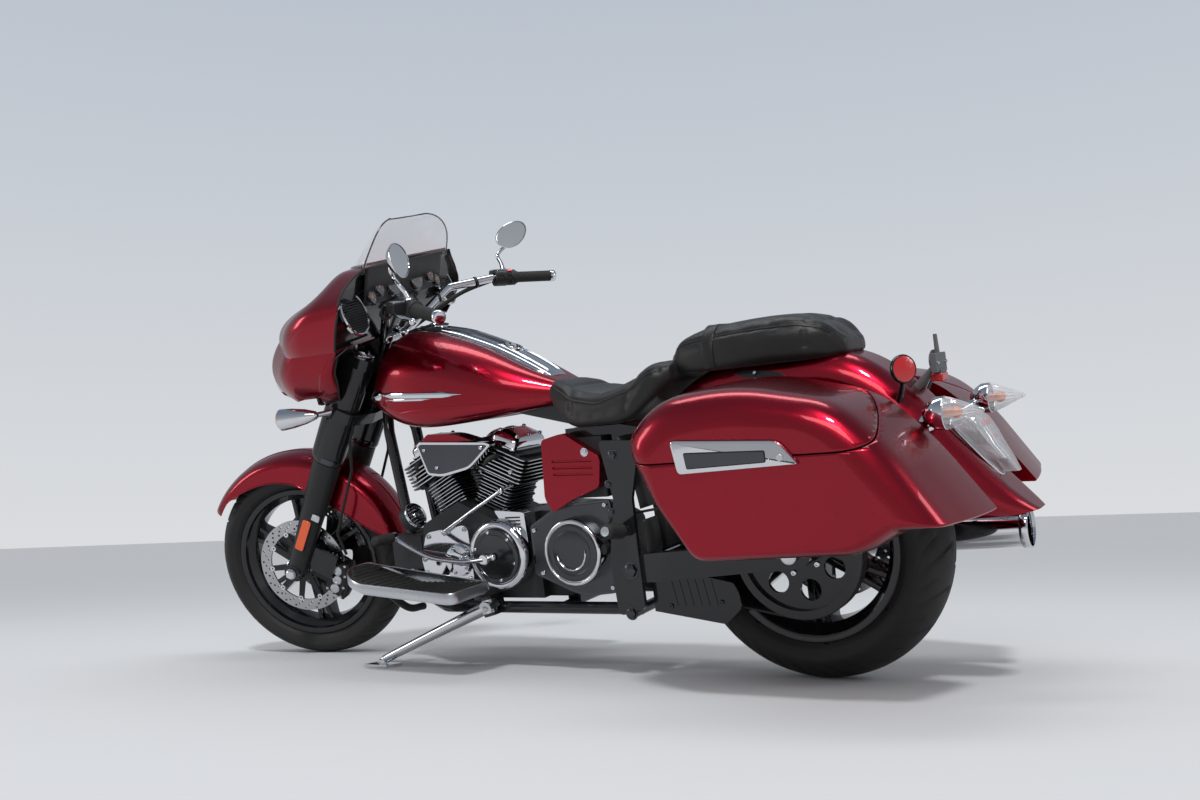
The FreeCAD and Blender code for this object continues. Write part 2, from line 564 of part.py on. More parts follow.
def running_gear():
    arm = plate([(PIVOT_X + 30, PIVOT_Z + 32), (PIVOT_X - 60, PIVOT_Z + 40), (-30, REAR_R + 32), (-56, REAR_R),
                 (-30, REAR_R - 30), (PIVOT_X - 60, PIVOT_Z - 32), (PIVOT_X + 30, PIVOT_Z - 32)],
                [24, 40, 24, 16, 24, 40, 24], ARM_IN, ARM_OUT)
    cross = box(372, 408, -ARM_IN - 4, ARM_IN + 4, 272, 328)
    pivot = rod(V(PIVOT_X, -ARM_IN - 4, PIVOT_Z), V(PIVOT_X, ARM_IN + 4, PIVOT_Z), 20)
    axle_hole = rod(V(0, -300, REAR_R), V(0, 300, REAR_R), AXLE_R)
    caliper_lug = plate([(60, 335), (140, 335), (150, 430), (70, 470)], 10, -ARM_IN - 6, -134)
    guard = plate([(388, 298), (300, 290), (160, 260), (148, 200), (195, 160), (388, 190)], [0, 20, 20, 16, 20, 0],
                  ARM_IN + 4, ARM_IN + 9)
    arms = joined(arm, mirrored(arm), cross, pivot, caliper_lug, guard).cut(axle_hole)
    reach = ARM_OUT + 12
    axle = joined(ring(AXLE_BORE_R, AXLE_R, -reach, reach), ring(AXLE_BORE_R, 20, ARM_OUT, reach),
                  ring(AXLE_BORE_R, 20, -reach, -ARM_OUT),
                  ring(AXLE_BORE_R, 22, PULLEY_Y + BELT_W / 2 + FACE_GAP, ARM_IN),
                  ring(AXLE_BORE_R, 22, -ARM_IN, -REAR_DISC_Y - DISC_THICK / 2 - FACE_GAP))
    near, far = -REAR_DISC_Y + 24, -134
    body = spun(polygon([(far, 112), (near, 112), (near, 182), (far, 182)]), start=32, sweep=36)
    slot = ring(60, REAR_DISC_R + 5, -REAR_DISC_Y - 5, -REAR_DISC_Y + 5)
    emit("swingarm", [arms])
    emit("rear_axle", [axle.translated(REAR_AXLE)])
    emit("rear_caliper", [body.cut(slot).translated(REAR_AXLE)])


def belt_loop(grow, y0, y1):
    """Solid inside a loop round both pulleys, grown outward."""
    distance = math.hypot(OUTPUT_X, OUTPUT_Z - REAR_R)
    slope = math.atan2(OUTPUT_Z - REAR_R, OUTPUT_X)
    big, small = PULLEY_R + grow, OUTPUT_R + grow
    swing = math.acos((big - small) / distance)

    def rear(angle):
        return V(big * math.cos(angle), y0, REAR_R + big * math.sin(angle))

    def front(angle):
        return V(OUTPUT_X + small * math.cos(angle), y0, OUTPUT_Z + small * math.sin(angle))
    up, down = slope + swing, slope - swing
    edges = [Part.makeLine(rear(up), front(up)), Part.Arc(front(up), front(slope), front(down)).toShape(),
             Part.makeLine(front(down), rear(down)), Part.Arc(rear(down), rear(slope + math.pi), rear(up)).toShape()]
    return Part.Face(Part.Wire(edges)).extrude(V(0, y1 - y0, 0))


def drive():
    half = BELT_W / 2
    y0, y1 = PULLEY_Y - half + 0.5, PULLEY_Y + half - 0.5
    belt = belt_loop(BELT_GAP + BELT_THICK, y0, y1).cut(belt_loop(BELT_GAP, y0 - 1, y1 + 1))
    hub = V(OUTPUT_X, 0, OUTPUT_Z)
    pulley = joined(ring(0, OUTPUT_R, PULLEY_Y - half, PULLEY_Y + half, centre=hub),
                    ring(0, 30, 92, PULLEY_Y - half, centre=hub))
    emit("drive_belt", [belt])
    return pulley


# Engine
def cylinder_frame(bank):
    """Placement of a cylinder: z along its bore from the crank's axis, x ahead across it."""
    return Placement(V(CRANK_X, 0, CRANK_Z), Rotation(LEFT, bank))


def cylinder(bank):
    """Finned barrel with its head, and the rocker cover on top."""
    def slab(half_x, half_y, z0, z1, bend):
        wire = rounded_wire([V(-half_x, -half_y, z0), V(half_x, -half_y, z0), V(half_x, half_y, z0),
                             V(-half_x, half_y, z0)], bend)
        return Part.Face(wire).extrude(V(0, 0, z1 - z0))
    pieces = [slab(46, 50, BARREL_FROM, BARREL_TO, 40), slab(70, 66, BARREL_TO - 2, HEAD_TO, 24)]
    for count, z0, z1, half_x, half_y, thick in ((8, BARREL_FROM + 10, BARREL_TO - 4, 62, 68, FIN_THICK),
                                                 (6, BARREL_TO, HEAD_TO, 92, 86, FIN_THICK + 0.6)):
        pitch = (z1 - z0) / count
        pieces += [slab(half_x, half_y, z0 + pitch * i, z0 + pitch * i + thick, 24) for i in range(count)]
    body = joined(*pieces)
    cover = loft([rounded_wire([V(-x, -y, z), V(x, -y, z), V(x, y, z), V(-x, y, z)], 20)
                  for x, y, z in ((44, 76, HEAD_TO), (44, 76, ROCKER_TO - 15), (33, 64, ROCKER_TO))], True)
    place = cylinder_frame(bank).toMatrix()
    return body.transformed(place, True), cover.transformed(place, True)


def engine(output_pulley):
    deck = [cylinder_frame(bank).multVec(V(side * DECK_HALF, 0, BARREL_FROM)) for bank, side in ((BANK, 1), (-BANK, -1))]
    peak = CRANK_Z + BARREL_FROM / math.cos(math.radians(BANK))
    outline = [(deck[0].x, deck[0].z), (CRANK_X, peak), (deck[1].x, deck[1].z), (790, 452), (620, 440), (545, 400),
               (545, 275), (640, 232), (680, 215), (1090, 215), (1140, 250), (1160, 330)]
    case = plate(outline, [14, 0, 14, 20, 30, 30, 30, 20, 0, 20, 30, 40], -CASE_Y, CASE_Y)
    case = case.cut(box(400, 745, 92, CASE_Y + 1, 200, 470))
    boss = box(706, 745, 92, ARM_IN, 285, 415)
    emit("crankcase", [joined(case, boss, output_pulley)])
    stator = plate([(1130, 255), (1145, 330), (1118, 405), (965, 425), (962, 262)], [20, 40, 30, 20, 20],
                   CASE_Y, CASE_Y + 22)

    r = CLUTCH_R
    dome = [(0, 0), (0, r), (44, r), (56, r - 12), (56, r - 22), (50, r - 28), (50, r - 34), (66, r - 48), (70, 0)]
    emit("clutch_cover", [spun(polygon([(CASE_Y + y, radius) for y, radius in dome]), centre=V(CLUTCH_X, 0, CLUTCH_Z))])
    right = plate([(1125, 250), (1140, 330), (1105, 430), (820, 440), (745, 380), (745, 290), (800, 240)],
                  [30, 40, 30, 40, 30, 30, 30], -CASE_Y - 26, -CASE_Y)
    timing = spun(polygon([(CASE_Y + 22, 0), (CASE_Y + 22, 46), (CASE_Y + 34, 42), (CASE_Y + 38, 20), (CASE_Y + 38, 0)]),
                  centre=V(1004, 0, 326))
    emit("case_covers", [joined(stator, timing), right])
    fan = plate([(745, 415), (640, 470), (484.2, 478), (488, 236), (600, 225), (745, 285)], [8, 40, 14, 20, 40, 8],
                ARM_IN, ARM_IN + 8)
    drum = spun(polygon([(ARM_IN + 8, 0), (ARM_IN + 8, 88), (ARM_IN + 44, 86), (ARM_IN + 54, 74), (ARM_IN + 54, 0)]),
                centre=V(OUTPUT_X, 0, OUTPUT_Z))
    emit("pulley_cover", [joined(fan, drum)])

    rear, rear_cap = cylinder(-BANK)
    front, front_cap = cylinder(BANK)
    emit("cylinders", [front, rear])
    emit("rocker_covers", [rear_cap, front_cap])

    valley = plate([(1127, 655), (1111, 664), (880, 648), (858, 640), (942, 578), (1040, 561), (1095, 568)],
                   [6, 6, 6, 10, 20, 20, 12], 106, 130)
    cleaner = spun(polygon([(-112, 0), (-112, 84), (-170, 84), (-184, 70), (-184, 0)]), centre=V(1007, 0, 588))
    emit("valley_cover", [valley])
    intake = joined(box(990, 1024, -114, 106, 540, 664), box(930, 1084, -26, 26, 604, 640), cleaner)
    emit("air_cleaner", [largest(intake.cut(rear).cut(front))])
    return rear, front


def exhaust(rear, front):
    y = -176.0
    front_pipe = bent_tube([V(1150, -70, 592), V(1150, y + 8, 592), V(1186, y, 470), V(1150, y, 250),
                            V(600, y - 34, 246), V(330, -236, 288), V(232, -238, 286)], [0, 34, 60, 70, 90, 60, 0], 21)
    rear_pipe = bent_tube([V(872, -70, 592), V(872, y + 8, 592), V(812, y, 470), V(770, y - 8, 300), V(720, y - 22, 250)],
                          [0, 34, 60, 60, 0], 20)
    hanger = box(425, 449, -230, -ARM_OUT - 12, 268, 284)
    pipes = largest(joined(front_pipe, rear_pipe, hanger).cut(rear).cut(front))
    muffler = joined(rod(V(236, -238, 286), V(190, -238, 288), 40), rod(V(200, -238, 288), V(-440, -238, 308), 46))
    emit("exhaust_pipes", [pipes])
    mouth = rod(V(-450, -238, 308), V(-350, -238, 305), 39)
    emit("muffler", [largest(muffler.cut(pipes).cut(mouth))])


# Tank, seats and covers, as sections across the bike: x, half width, bottom, top, bends below and above
TANK_STATIONS = [(1330, 120, 770, 960, 30, 60), (1230, 148, 752, 972, 40, 100), (1130, 170, 712, 983, 44, 130),
                 (1000, 174, 703, 955, 44, 120), (870, 165, 710, 902, 40, 100), (760, 135, 720, 842, 34, 70),
                 (670, 88, 728, 795, 20, 36), (622, 60, 736, 768, 8, 14)]
CONSOLE_STATIONS = [(1180, 50, 930, 990, 4, 12), (1130, 58, 940, 993, 4, 12), (1000, 60, 900, 965, 4, 12),
                    (870, 58, 850, 913, 4, 12), (760, 54, 790, 853, 4, 12), (690, 44, 750, 806, 4, 12)]
RIDER_STATIONS = [(722, 50, 775, 800, 8, 10), (650, 112, 712, 795, 20, 30), (570, 168, 664, 764, 30, 34),
                  (480, 186, 664, 748, 24, 28), (390, 190, 668, 772, 30, 40), (320, 182, 712, 806, 30, 34),
                  (262, 150, 756, 812, 20, 24)]
PILLION_STATIONS = [(300, 92, 792, 824, 12, 14), (250, 128, 770, 864, 20, 36), (140, 146, 768, 877, 24, 36),
                    (20, 146, 768, 882, 24, 36), (-60, 134, 768, 878, 24, 36), (-118, 112, 768, 862, 24, 34),
                    (-160, 72, 776, 818, 10, 16)]



def bodywork(frame_shape):
    beside_fork = on_fork(box(-98, 400, -400, 400, 300, 1200))
    tunnel = plate([(560, 500), (560, 702), (640, 722), (1000, 838), (1400, 893), (1400, 500)],
                   [0, 0, 60, 60, 0, 0], -BEAM_HALF - 3, BEAM_HALF + 3)
    front_room = box(1252, 1400, -82, 82, 500, 830)
    tank = largest(loft([upright_section(*s) for s in TANK_STATIONS]).cut(beside_fork).cut(tunnel).cut(front_room))
    console = loft([upright_section(*s) for s in CONSOLE_STATIONS]).cut(tank).cut(beside_fork).cut(tunnel)
    console = largest(console)
    fender = rear_fender_solid(BEAD_GAP)
    pillion = largest(loft([upright_section(*s) for s in PILLION_STATIONS]).cut(fender))
    rider = loft([upright_section(*s) for s in RIDER_STATIONS])
    for other in (tank, console, pillion, fender, frame_shape):
        rider = rider.cut(other)
    battery = largest(box(488, 640, -150, 150, 484, 640).cut(frame_shape))
    cover = plate([(655, 643), (586, 657), (480, 588), (492, 512), (590, 480), (641, 452), (664, 490)],
                  [12, 16, 14, 14, 30, 12, 12], 150, 180)
    emit("fuel_tank", [tank])
    emit("tank_console", [console])
    emit("pillion_seat", [pillion])
    emit("rider_seat", [largest(rider)])
    emit("battery_box", [battery])
    emit("side_covers", both(cover))


# Rear fender, as radial sections about the rear axle: angle from ahead, outer radius, skirt, half width, bend
FENDER_STATIONS = [(48, 496, 366, 113, 66), (59, 491, 366, 113, 66), (78, 477, 352, 113, 66), (91, 468, 347, 113, 66),
                   (109, 474, 347, 113, 66), (128, 453, 347, 113, 66), (146, 443, 347, 114, 66),
                   (161, 470, 362, 110, 62), (173, 534, 470, 74, 56)]


def rear_fender_solid(grow, deeper=0.0):
    """The fender's outside as a solid, grown outward or shrunk, its skirts reaching deeper."""
    wires = []
    for angle, outer, skirt, half, bend in FENDER_STATIONS:
        turn = Rotation(LEFT, 90.0 - angle)
        corners = [(-half - grow, skirt - deeper), (-half - grow, outer + grow), (half + grow, outer + grow),
                   (half + grow, skirt - deeper)]
        points = [REAR_AXLE + turn.multVec(V(0, y, r)) for y, r in corners]
        wires.append(rounded_wire(points, [0, bend + grow, bend + grow, 0]))
    return loft(wires)


def rear_end(fender_outer):
    emit("rear_fender", [largest(fender_outer.cut(rear_fender_solid(-SHELL, 30.0)))])
    lamp = loft([level_section(*s) for s in
                 [(622, -330, -400, 34, 10), (600, -330, -432, 50, 18), (540, -380, -462, 44, 16),
                  (478, -430, -494, 18, 8)]]).cut(fender_outer)
    signal = joined(rod(V(-376, 200, 630), V(-396, 200, 630), 35), cone(V(-396, 200, 630), V(-478, 200, 630), 35, 5),
                    cone(V(-352, 200, 630), V(-376, 200, 630), 20, 35), rod(V(-322, 92, 602), V(-380, 200, 630), 9))
    signal = signal.cut(fender_outer)
    reflector = joined(rod(V(-290, 126, 726), V(-302, 126, 726), 28), rod(V(-296, 126, 726), V(-262, 86, 640), 6))
    bracket = joined(box(-344, -334, -42, 42, 712, 752), box(-342, -336, -6, 6, 740, 797),
                     rod(V(-338, 0, 728), V(-240, 0, 640), 9))
    emit("tail_lamp", [largest(lamp)])
    emit("rear_signals", both(largest(signal)))
    emit("rear_reflectors", both(largest(reflector.cut(fender_outer))))
    emit("plate_bracket", [largest(bracket.cut(fender_outer))])


# Saddlebags: corners of the side-view outline at the inner wall, where it is widest, and of the flat face
BAG_INNER = [(198, 560), (240, 650), (150, 736), (-30, 752), (-264, 690), (-368, 588), (-484, 424), (-365, 426),
             (-285, 382), (82, 372), (174, 511)]
BAG_WIDE = [(199, 562), (238, 646), (148, 728), (-30, 742), (-232, 690), (-330, 596), (-452, 432), (-365, 428),
            (-285, 382), (82, 372), (175, 511)]
BAG_FACE = [(152, 560), (160, 604), (98, 648), (-30, 660), (-178, 640), (-232, 596), (-368, 452), (-340, 446),
            (-262, 404), (70, 394), (140, 508)]
BAG_BENDS = [30, 30, 70, 120, 70, 30, 8, 8, 24, 16, 50]
BAG_ROLL = [(250, 0.1, 0.0), (330, 0.4, 0.0), (405, 0.85, 0.0), (448, 1.0, 0.05), (474, 1.0, 0.22), (490, 1.0, 0.5),
            (497, 1.0, 0.78)]     # y, share of the way to the wide outline, share of the way to the face
KNUCKLES = ((80, 110, False), (111, 139, True), (140, 170, False), (-170, -140, False), (-139, -111, True),
            (-110, -80, False))    # from x, to x, on the lid


def inset(points, distance):
    """Outline with every edge moved inward by a distance."""
    centre_x = sum(p[0] for p in points) / len(points)
    centre_z = sum(p[1] for p in points) / len(points)
    lines = []
    for (x0, z0), (x1, z1) in zip(points, points[1:] + points[:1]):
        length = math.hypot(x1 - x0, z1 - z0)
        nx, nz = (z1 - z0) / length, (x0 - x1) / length
        if (centre_x - x0) * nx + (centre_z - z0) * nz < 0:
            nx, nz = -nx, -nz
        lines.append((nx, nz, nx * x0 + nz * z0 + distance))
    moved = []
    for i in range(len(points)):
        a, b = lines[i - 1], lines[i]
        det = a[0] * b[1] - a[1] * b[0]
        moved.append(((a[2] * b[1] - a[1] * b[2]) / det, (a[0] * b[2] - a[2] * b[0]) / det))
    return moved


def bag_solid(wall):
    """The closed bag, or its hollow when given a wall thickness."""
    wires = []
    for y, out, face in [(BAG_IN + wall, 0.0, 0.0)] + BAG_ROLL + [(BAG_OUT, 1.0, 1.0)]:
        mixed = [tuple(i + (w - i) * out + (f - w) * face for i, w, f in zip(*corner))
                 for corner in zip(BAG_INNER, BAG_WIDE, BAG_FACE)]
        if y > BAG_IN + wall:
            y -= wall * face
        wires.append(rounded_wire([V(x, y, z) for x, z in inset(mixed, wall)], [max(b - wall, 4) for b in BAG_BENDS]))
    return loft(wires, ruled=True)


def beyond_seam(side):
    """Space above (1) or below (-1) the lid's seam, half the lid's gap off it."""
    slope = (SEAM_OUT_Z - HINGE_Z) / (BAG_OUT - HINGE_Y)
    z_in, z_out = [HINGE_Z + slope * (y - HINGE_Y) + side * LID_GAP / 2 for y in (100, 600)]
    far = side * 900
    wire = rounded_wire([V(-900, 100, z_in), V(-900, 600, z_out), V(-900, 600, z_out + far),
                         V(-900, 100, z_in + far)], 0)
    return Part.Face(wire).extrude(V(1600, 0, 0))


def saddlebag():
    """Bag body with its hinge pins, lid with its knuckles, and the latch on the lid's outer face."""
    shell = bag_solid(0.0).cut(bag_solid(BAG_WALL))
    body, lid = largest(shell.common(beyond_seam(-1))), largest(shell.common(beyond_seam(1)))
    for x0, x1, on_lid in KNUCKLES:
        start, end = V(x0, HINGE_Y, HINGE_Z), V(x1, HINGE_Y, HINGE_Z)
        barrel = rod(start, end, HINGE_R)
        room = rod(start - V(0.5, 0, 0), end + V(0.5, 0, 0), HINGE_R + 0.6)
        if on_lid:
            leaf = box(x0, x1, HINGE_Y, BAG_IN, HINGE_Z, HINGE_Z + 14)
            body = body.cut(room)
            lid = joined(lid, barrel, leaf).cut(rod(start, end, HINGE_PIN_R + RUNNING))
        else:
            leaf = box(x0, x1, HINGE_Y, BAG_IN, HINGE_Z - 14, HINGE_Z)
            lid = lid.cut(room)
            body = joined(body, barrel, leaf)
    pins = [rod(V(x, HINGE_Y, HINGE_Z), V(x + 90, HINGE_Y, HINGE_Z), HINGE_PIN_R) for x in (80, -170)]
    body = joined(body, *pins)
    latch = joined(plate([(95, 642), (-145, 642), (-185, 572), (84, 572)], [8, 8, 6, 8], BAG_OUT + 0.8, BAG_OUT + 11),
                   box(-120, 70, BAG_OUT, BAG_OUT + 2, 606, 630))
    return body, lid, latch


def luggage():
    pieces = saddlebag()
    emit("saddlebags", both(pieces[0]))
    for name, piece in zip(("lid", "latch"), pieces[1:]):
        emit(name + "_left", [piece])
        emit(name + "_right", [mirrored(piece)])


def footrests(frame_shape):
    board = plate([(830, 262), (1060, 258), (1262, 320), (1250, 341), (1050, 284), (830, 284)], [6, 60, 6, 6, 60, 6],
                  240, 398)
    arms = [bent_tube([V(x, RAIL_Y, RAIL_Z), V(x, 200, 208), V(x, 300, 262)], 20, 10) for x in (1000, 1170)]
    board = largest(joined(board, *arms).cut(frame_shape))
    lever_y = 226
    lever = joined(rod(V(CLUTCH_X, CASE_Y + 70, CLUTCH_Z), V(CLUTCH_X, lever_y + 8, CLUTCH_Z), 9),
                   bent_tube([V(CLUTCH_X, lever_y, CLUTCH_Z), V(943, lever_y, 338), V(1030, lever_y, 348),
                              V(1098, lever_y + 4, 378), V(1152, lever_y + 10, 412)], 30, 7),
                   rod(V(1152, lever_y + 4, 412), V(1152, 318, 414), 12))
    pedal = joined(rod(V(940, -CASE_Y - 26, 300), V(940, -232, 300), 9),
                   bent_tube([V(940, -226, 300), V(1060, -226, 330), V(1140, -232, 372)], 30, 8),
                   box(1120, 1180, -310, -226, 366, 380))
    emit("floorboards", both(board))
    emit("foot_levers", [lever, pedal])


def front_boxes(frame_shape):
    regulator = largest(box(1180, 1290, -96, 96, 296, 390).cut(frame_shape))
    horn = joined(rod(V(1180, 108, 452), V(1206, 108, 440), 38), rod(V(1196, 100, 446), V(1252, 64, 446), 7))
    horn = largest(horn.cut(frame_shape))
    emit("regulator_and_horn", [regulator, horn])


def build():
    os.makedirs("parts", exist_ok=True)
    front_wheel()
    rear_wheel()
    legs, clamps, bar = steering()
    front_fender()
    fairing(legs, clamps, bar)
    controls(bar)
    fender_outer = rear_fender_solid(0.0)
    frame_shape = frame().cut(fender_outer)
    emit("frame", [frame_shape])
    side_stand()
    running_gear()
    rear, front = engine(drive())
    exhaust(rear, front)
    bodywork(frame_shape)
    rear_end(fender_outer)
    luggage()
    footrests(frame_shape)
    front_boxes(frame_shape)


build()
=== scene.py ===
"""Looks of the parked touring cruiser, built over its CAD frame. Lengths in tables are millimetres on the
upright bike: X ahead of the rear axle, Y to the rider's left, Z up."""
import math
from math import cos, pi, radians, sin

import bmesh
import bpy
from mathutils import Matrix, Vector


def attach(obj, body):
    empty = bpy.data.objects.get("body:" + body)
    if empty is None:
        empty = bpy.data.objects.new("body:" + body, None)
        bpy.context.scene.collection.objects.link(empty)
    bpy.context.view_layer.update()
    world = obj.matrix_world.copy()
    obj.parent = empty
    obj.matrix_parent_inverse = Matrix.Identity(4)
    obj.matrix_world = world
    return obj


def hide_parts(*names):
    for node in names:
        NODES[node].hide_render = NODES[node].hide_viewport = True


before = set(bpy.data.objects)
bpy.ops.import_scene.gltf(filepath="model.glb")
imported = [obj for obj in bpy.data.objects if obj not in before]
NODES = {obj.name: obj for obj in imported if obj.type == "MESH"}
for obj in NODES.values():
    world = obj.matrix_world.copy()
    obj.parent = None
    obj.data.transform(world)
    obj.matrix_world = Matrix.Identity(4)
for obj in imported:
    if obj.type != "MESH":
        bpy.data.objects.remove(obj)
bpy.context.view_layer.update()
scene = bpy.context.scene

# Frames of reference, from millimetres on the upright bike to metres where it is parked
RAKE, LEAN, STEER = radians(31.3), radians(9.0), radians(18.0)
MM = Matrix.Scale(0.001, 4)
PARKED = (Matrix.Translation((-0.748, -0.087, 0.0013567)) @ Matrix.Rotation(radians(0.21808), 4, "Y")
          @ Matrix.Rotation(-LEAN, 4, "X") @ MM)
PIVOT = Vector((1867, 0, 0))
AXIS = Vector((-sin(RAKE), 0, cos(RAKE)))
STEERED = PARKED @ Matrix.Translation(PIVOT) @ Matrix.Rotation(STEER, 4, AXIS) @ Matrix.Translation(-PIVOT)
FORK = STEERED @ Matrix.Translation((1683.92, 0, 301.106)) @ Matrix.Rotation(-RAKE, 4, "Y")
FRONT = STEERED @ Matrix.Translation((1715, 0, 320))
REAR = PARKED @ Matrix.Translation((0, 0, 330))
HOMES = {"steering": STEERED, "front_wheel": FRONT, "rear_wheel": REAR}
SIDES = ((1, "left"), (-1, "right"))


# Materials
GLOSS_DRIFT = 0.12
GRAIN_DEPTH = 0.0006


def shader(name, colour, metallic=0.0, rough=0.4, coat=0.0, coat_rough=0.03, spec=0.5, sheen=0.0,
           tint=None, tint_scale=6.0, grain=0.0, grain_scale=300.0, cells=False, alpha=1.0):
    """Procedural material: a base colour drifting to a tint, uneven gloss and a fine relief."""
    m = bpy.data.materials.new(name)
    m.use_nodes = True
    nodes, links = m.node_tree.nodes, m.node_tree.links
    p = nodes["Principled BSDF"]
    values = {"Base Color": (*colour, 1), "Metallic": metallic, "Roughness": rough, "Coat Weight": coat,
              "Coat Roughness": coat_rough, "Specular IOR Level": spec, "Sheen Weight": sheen, "IOR": 1.5,
              "Alpha": alpha}
    for socket, value in values.items():
        p.inputs[socket].default_value = value
    where = nodes.new("ShaderNodeTexCoord").outputs["Object"]
    drift = nodes.new("ShaderNodeTexNoise")
    drift.inputs["Scale"].default_value = tint_scale
    drift.inputs["Detail"].default_value = 5
    links.new(where, drift.inputs["Vector"])
    mix = nodes.new("ShaderNodeMix")
    mix.data_type = "RGBA"
    mix.inputs["A"].default_value = (*colour, 1)
    mix.inputs["B"].default_value = (*(tint or [c * 0.8 for c in colour]), 1)
    links.new(drift.outputs["Fac"], mix.inputs["Factor"])
    links.new(mix.outputs["Result"], p.inputs["Base Color"])
    gloss = nodes.new("ShaderNodeMapRange")
    gloss.inputs["To Min"].default_value = rough * (1 - GLOSS_DRIFT)
    gloss.inputs["To Max"].default_value = rough * (1 + GLOSS_DRIFT)
    links.new(drift.outputs["Fac"], gloss.inputs["Value"])
    links.new(gloss.outputs["Result"], p.inputs["Roughness"])
    if grain:
        relief = nodes.new("ShaderNodeTexVoronoi" if cells else "ShaderNodeTexNoise")
        relief.inputs["Scale"].default_value = grain_scale
        links.new(where, relief.inputs["Vector"])
        bump = nodes.new("ShaderNodeBump")
        bump.inputs["Strength"].default_value = grain
        bump.inputs["Distance"].default_value = GRAIN_DEPTH
        links.new(relief.outputs["Distance" if cells else "Fac"], bump.inputs["Height"])
        links.new(bump.outputs["Normal"], p.inputs["Normal"])
    return m


RED = shader("candy_red", (0.33, 0.0008, 0.015), 0.92, 0.27, coat=0.5, coat_rough=0.02,
             tint=(0.22, 0.0005, 0.010), tint_scale=3.0, grain=0.05, grain_scale=2600.0, cells=True)
CHROME = shader("chrome_plate", (0.74, 0.75, 0.77), 1.0, 0.05, tint=(0.67, 0.68, 0.71),
                tint_scale=9.0)
DARK_CHROME = shader("dark_mirror", (0.10, 0.10, 0.11), 1.0, 0.07, tint=(0.07, 0.07, 0.08))
SMOKED = shader("smoked_satin", (0.085, 0.086, 0.09), 1.0, 0.24, tint=(0.065, 0.066, 0.07),
                grain=0.1, grain_scale=900.0)
SATIN = shader("machined_aluminium", (0.62, 0.63, 0.65), 1.0, 0.28, tint=(0.52, 0.53, 0.55),
               grain=0.1, grain_scale=500.0)
STEEL = shader("disc_steel", (0.50, 0.50, 0.51), 1.0, 0.24, tint=(0.42, 0.42, 0.43), tint_scale=20,
               grain=0.12, grain_scale=900.0)
GLOSS_BLACK = shader("black_gloss", (0.007, 0.007, 0.008), 0.0, 0.14, coat=0.55, spec=0.25,
                     tint=(0.014, 0.014, 0.015))
ENGINE_BLACK = shader("engine_black", (0.016, 0.016, 0.017), 0.2, 0.38, spec=0.3,
                      tint=(0.030, 0.030, 0.031), grain=0.25, grain_scale=1200.0)
SATIN_BLACK = shader("satin_black", (0.011, 0.011, 0.012), 0.0, 0.34, spec=0.32,
                     tint=(0.022, 0.022, 0.023), grain=0.15, grain_scale=900.0)
PLASTIC = shader("black_plastic", (0.014, 0.014, 0.015), 0.0, 0.48, spec=0.25,
                 tint=(0.030, 0.030, 0.031), grain=0.3, grain_scale=1500.0)
RUBBER = shader("rubber", (0.015, 0.015, 0.015), 0.0, 0.62, spec=0.25, tint=(0.030, 0.029, 0.028),
                grain=0.3, grain_scale=700.0)
TYRE = shader("tyre_rubber", (0.015, 0.015, 0.016), 0.0, 0.58, spec=0.25,
              tint=(0.027, 0.026, 0.025), tint_scale=10, grain=0.25, grain_scale=900.0)
LEATHER = shader("seat_leather", (0.008, 0.0078, 0.0076), 0.0, 0.36, spec=0.3,
                 tint=(0.015, 0.0145, 0.014), tint_scale=14, grain=0.55, grain_scale=420.0, cells=True,
                 sheen=0.05)
STITCH = shader("thread", (0.035, 0.035, 0.036), 0.0, 0.6, grain=0.3, grain_scale=2000.0)
CLEAR = shader("clear_acrylic", (0.93, 0.95, 0.97), 0.0, 0.03, alpha=0.16, spec=0.8)
SMOKE = shader("smoked_edge", (0.02, 0.022, 0.025), 0.0, 0.08, alpha=0.75)
LENS = shader("clear_lens", (0.70, 0.72, 0.75), 0.0, 0.06, alpha=0.42, spec=0.9,
              tint=(0.56, 0.58, 0.61), tint_scale=60)
AMBER = shader("amber_bulb", (0.85, 0.22, 0.01), 0.0, 0.22, coat=0.5, tint=(0.75, 0.16, 0.005))
ORANGE = shader("orange_reflector", (0.80, 0.10, 0.005), 0.0, 0.18, coat=0.8,
                tint=(0.65, 0.07, 0.003), tint_scale=80, grain=0.5, grain_scale=330.0, cells=True)
RED_LENS = shader("red_reflector", (0.46, 0.002, 0.006), 0.0, 0.16, coat=0.9,
                  tint=(0.40, 0.002, 0.004), tint_scale=60, grain=0.6, grain_scale=330.0, cells=True)
MIRROR = shader("mirror_glass", (0.90, 0.92, 0.94), 1.0, 0.015)
SILVER = shader("lamp_reflector", (0.80, 0.81, 0.82), 1.0, 0.14, grain=0.7, grain_scale=160.0,
                cells=True)
WHITE = shader("dial_print", (0.75, 0.76, 0.78), 0.0, 0.5)
PLASTIC_GREY = shader("grey_plastic", (0.11, 0.11, 0.115), 0.0, 0.5,
                      tint=(0.08, 0.08, 0.085), grain=0.3, grain_scale=900)
FLOOR = shader("floor_paint", (0.57, 0.58, 0.60), 0.0, 0.85, spec=0.15, tint=(0.55, 0.565, 0.58),
               tint_scale=0.7)


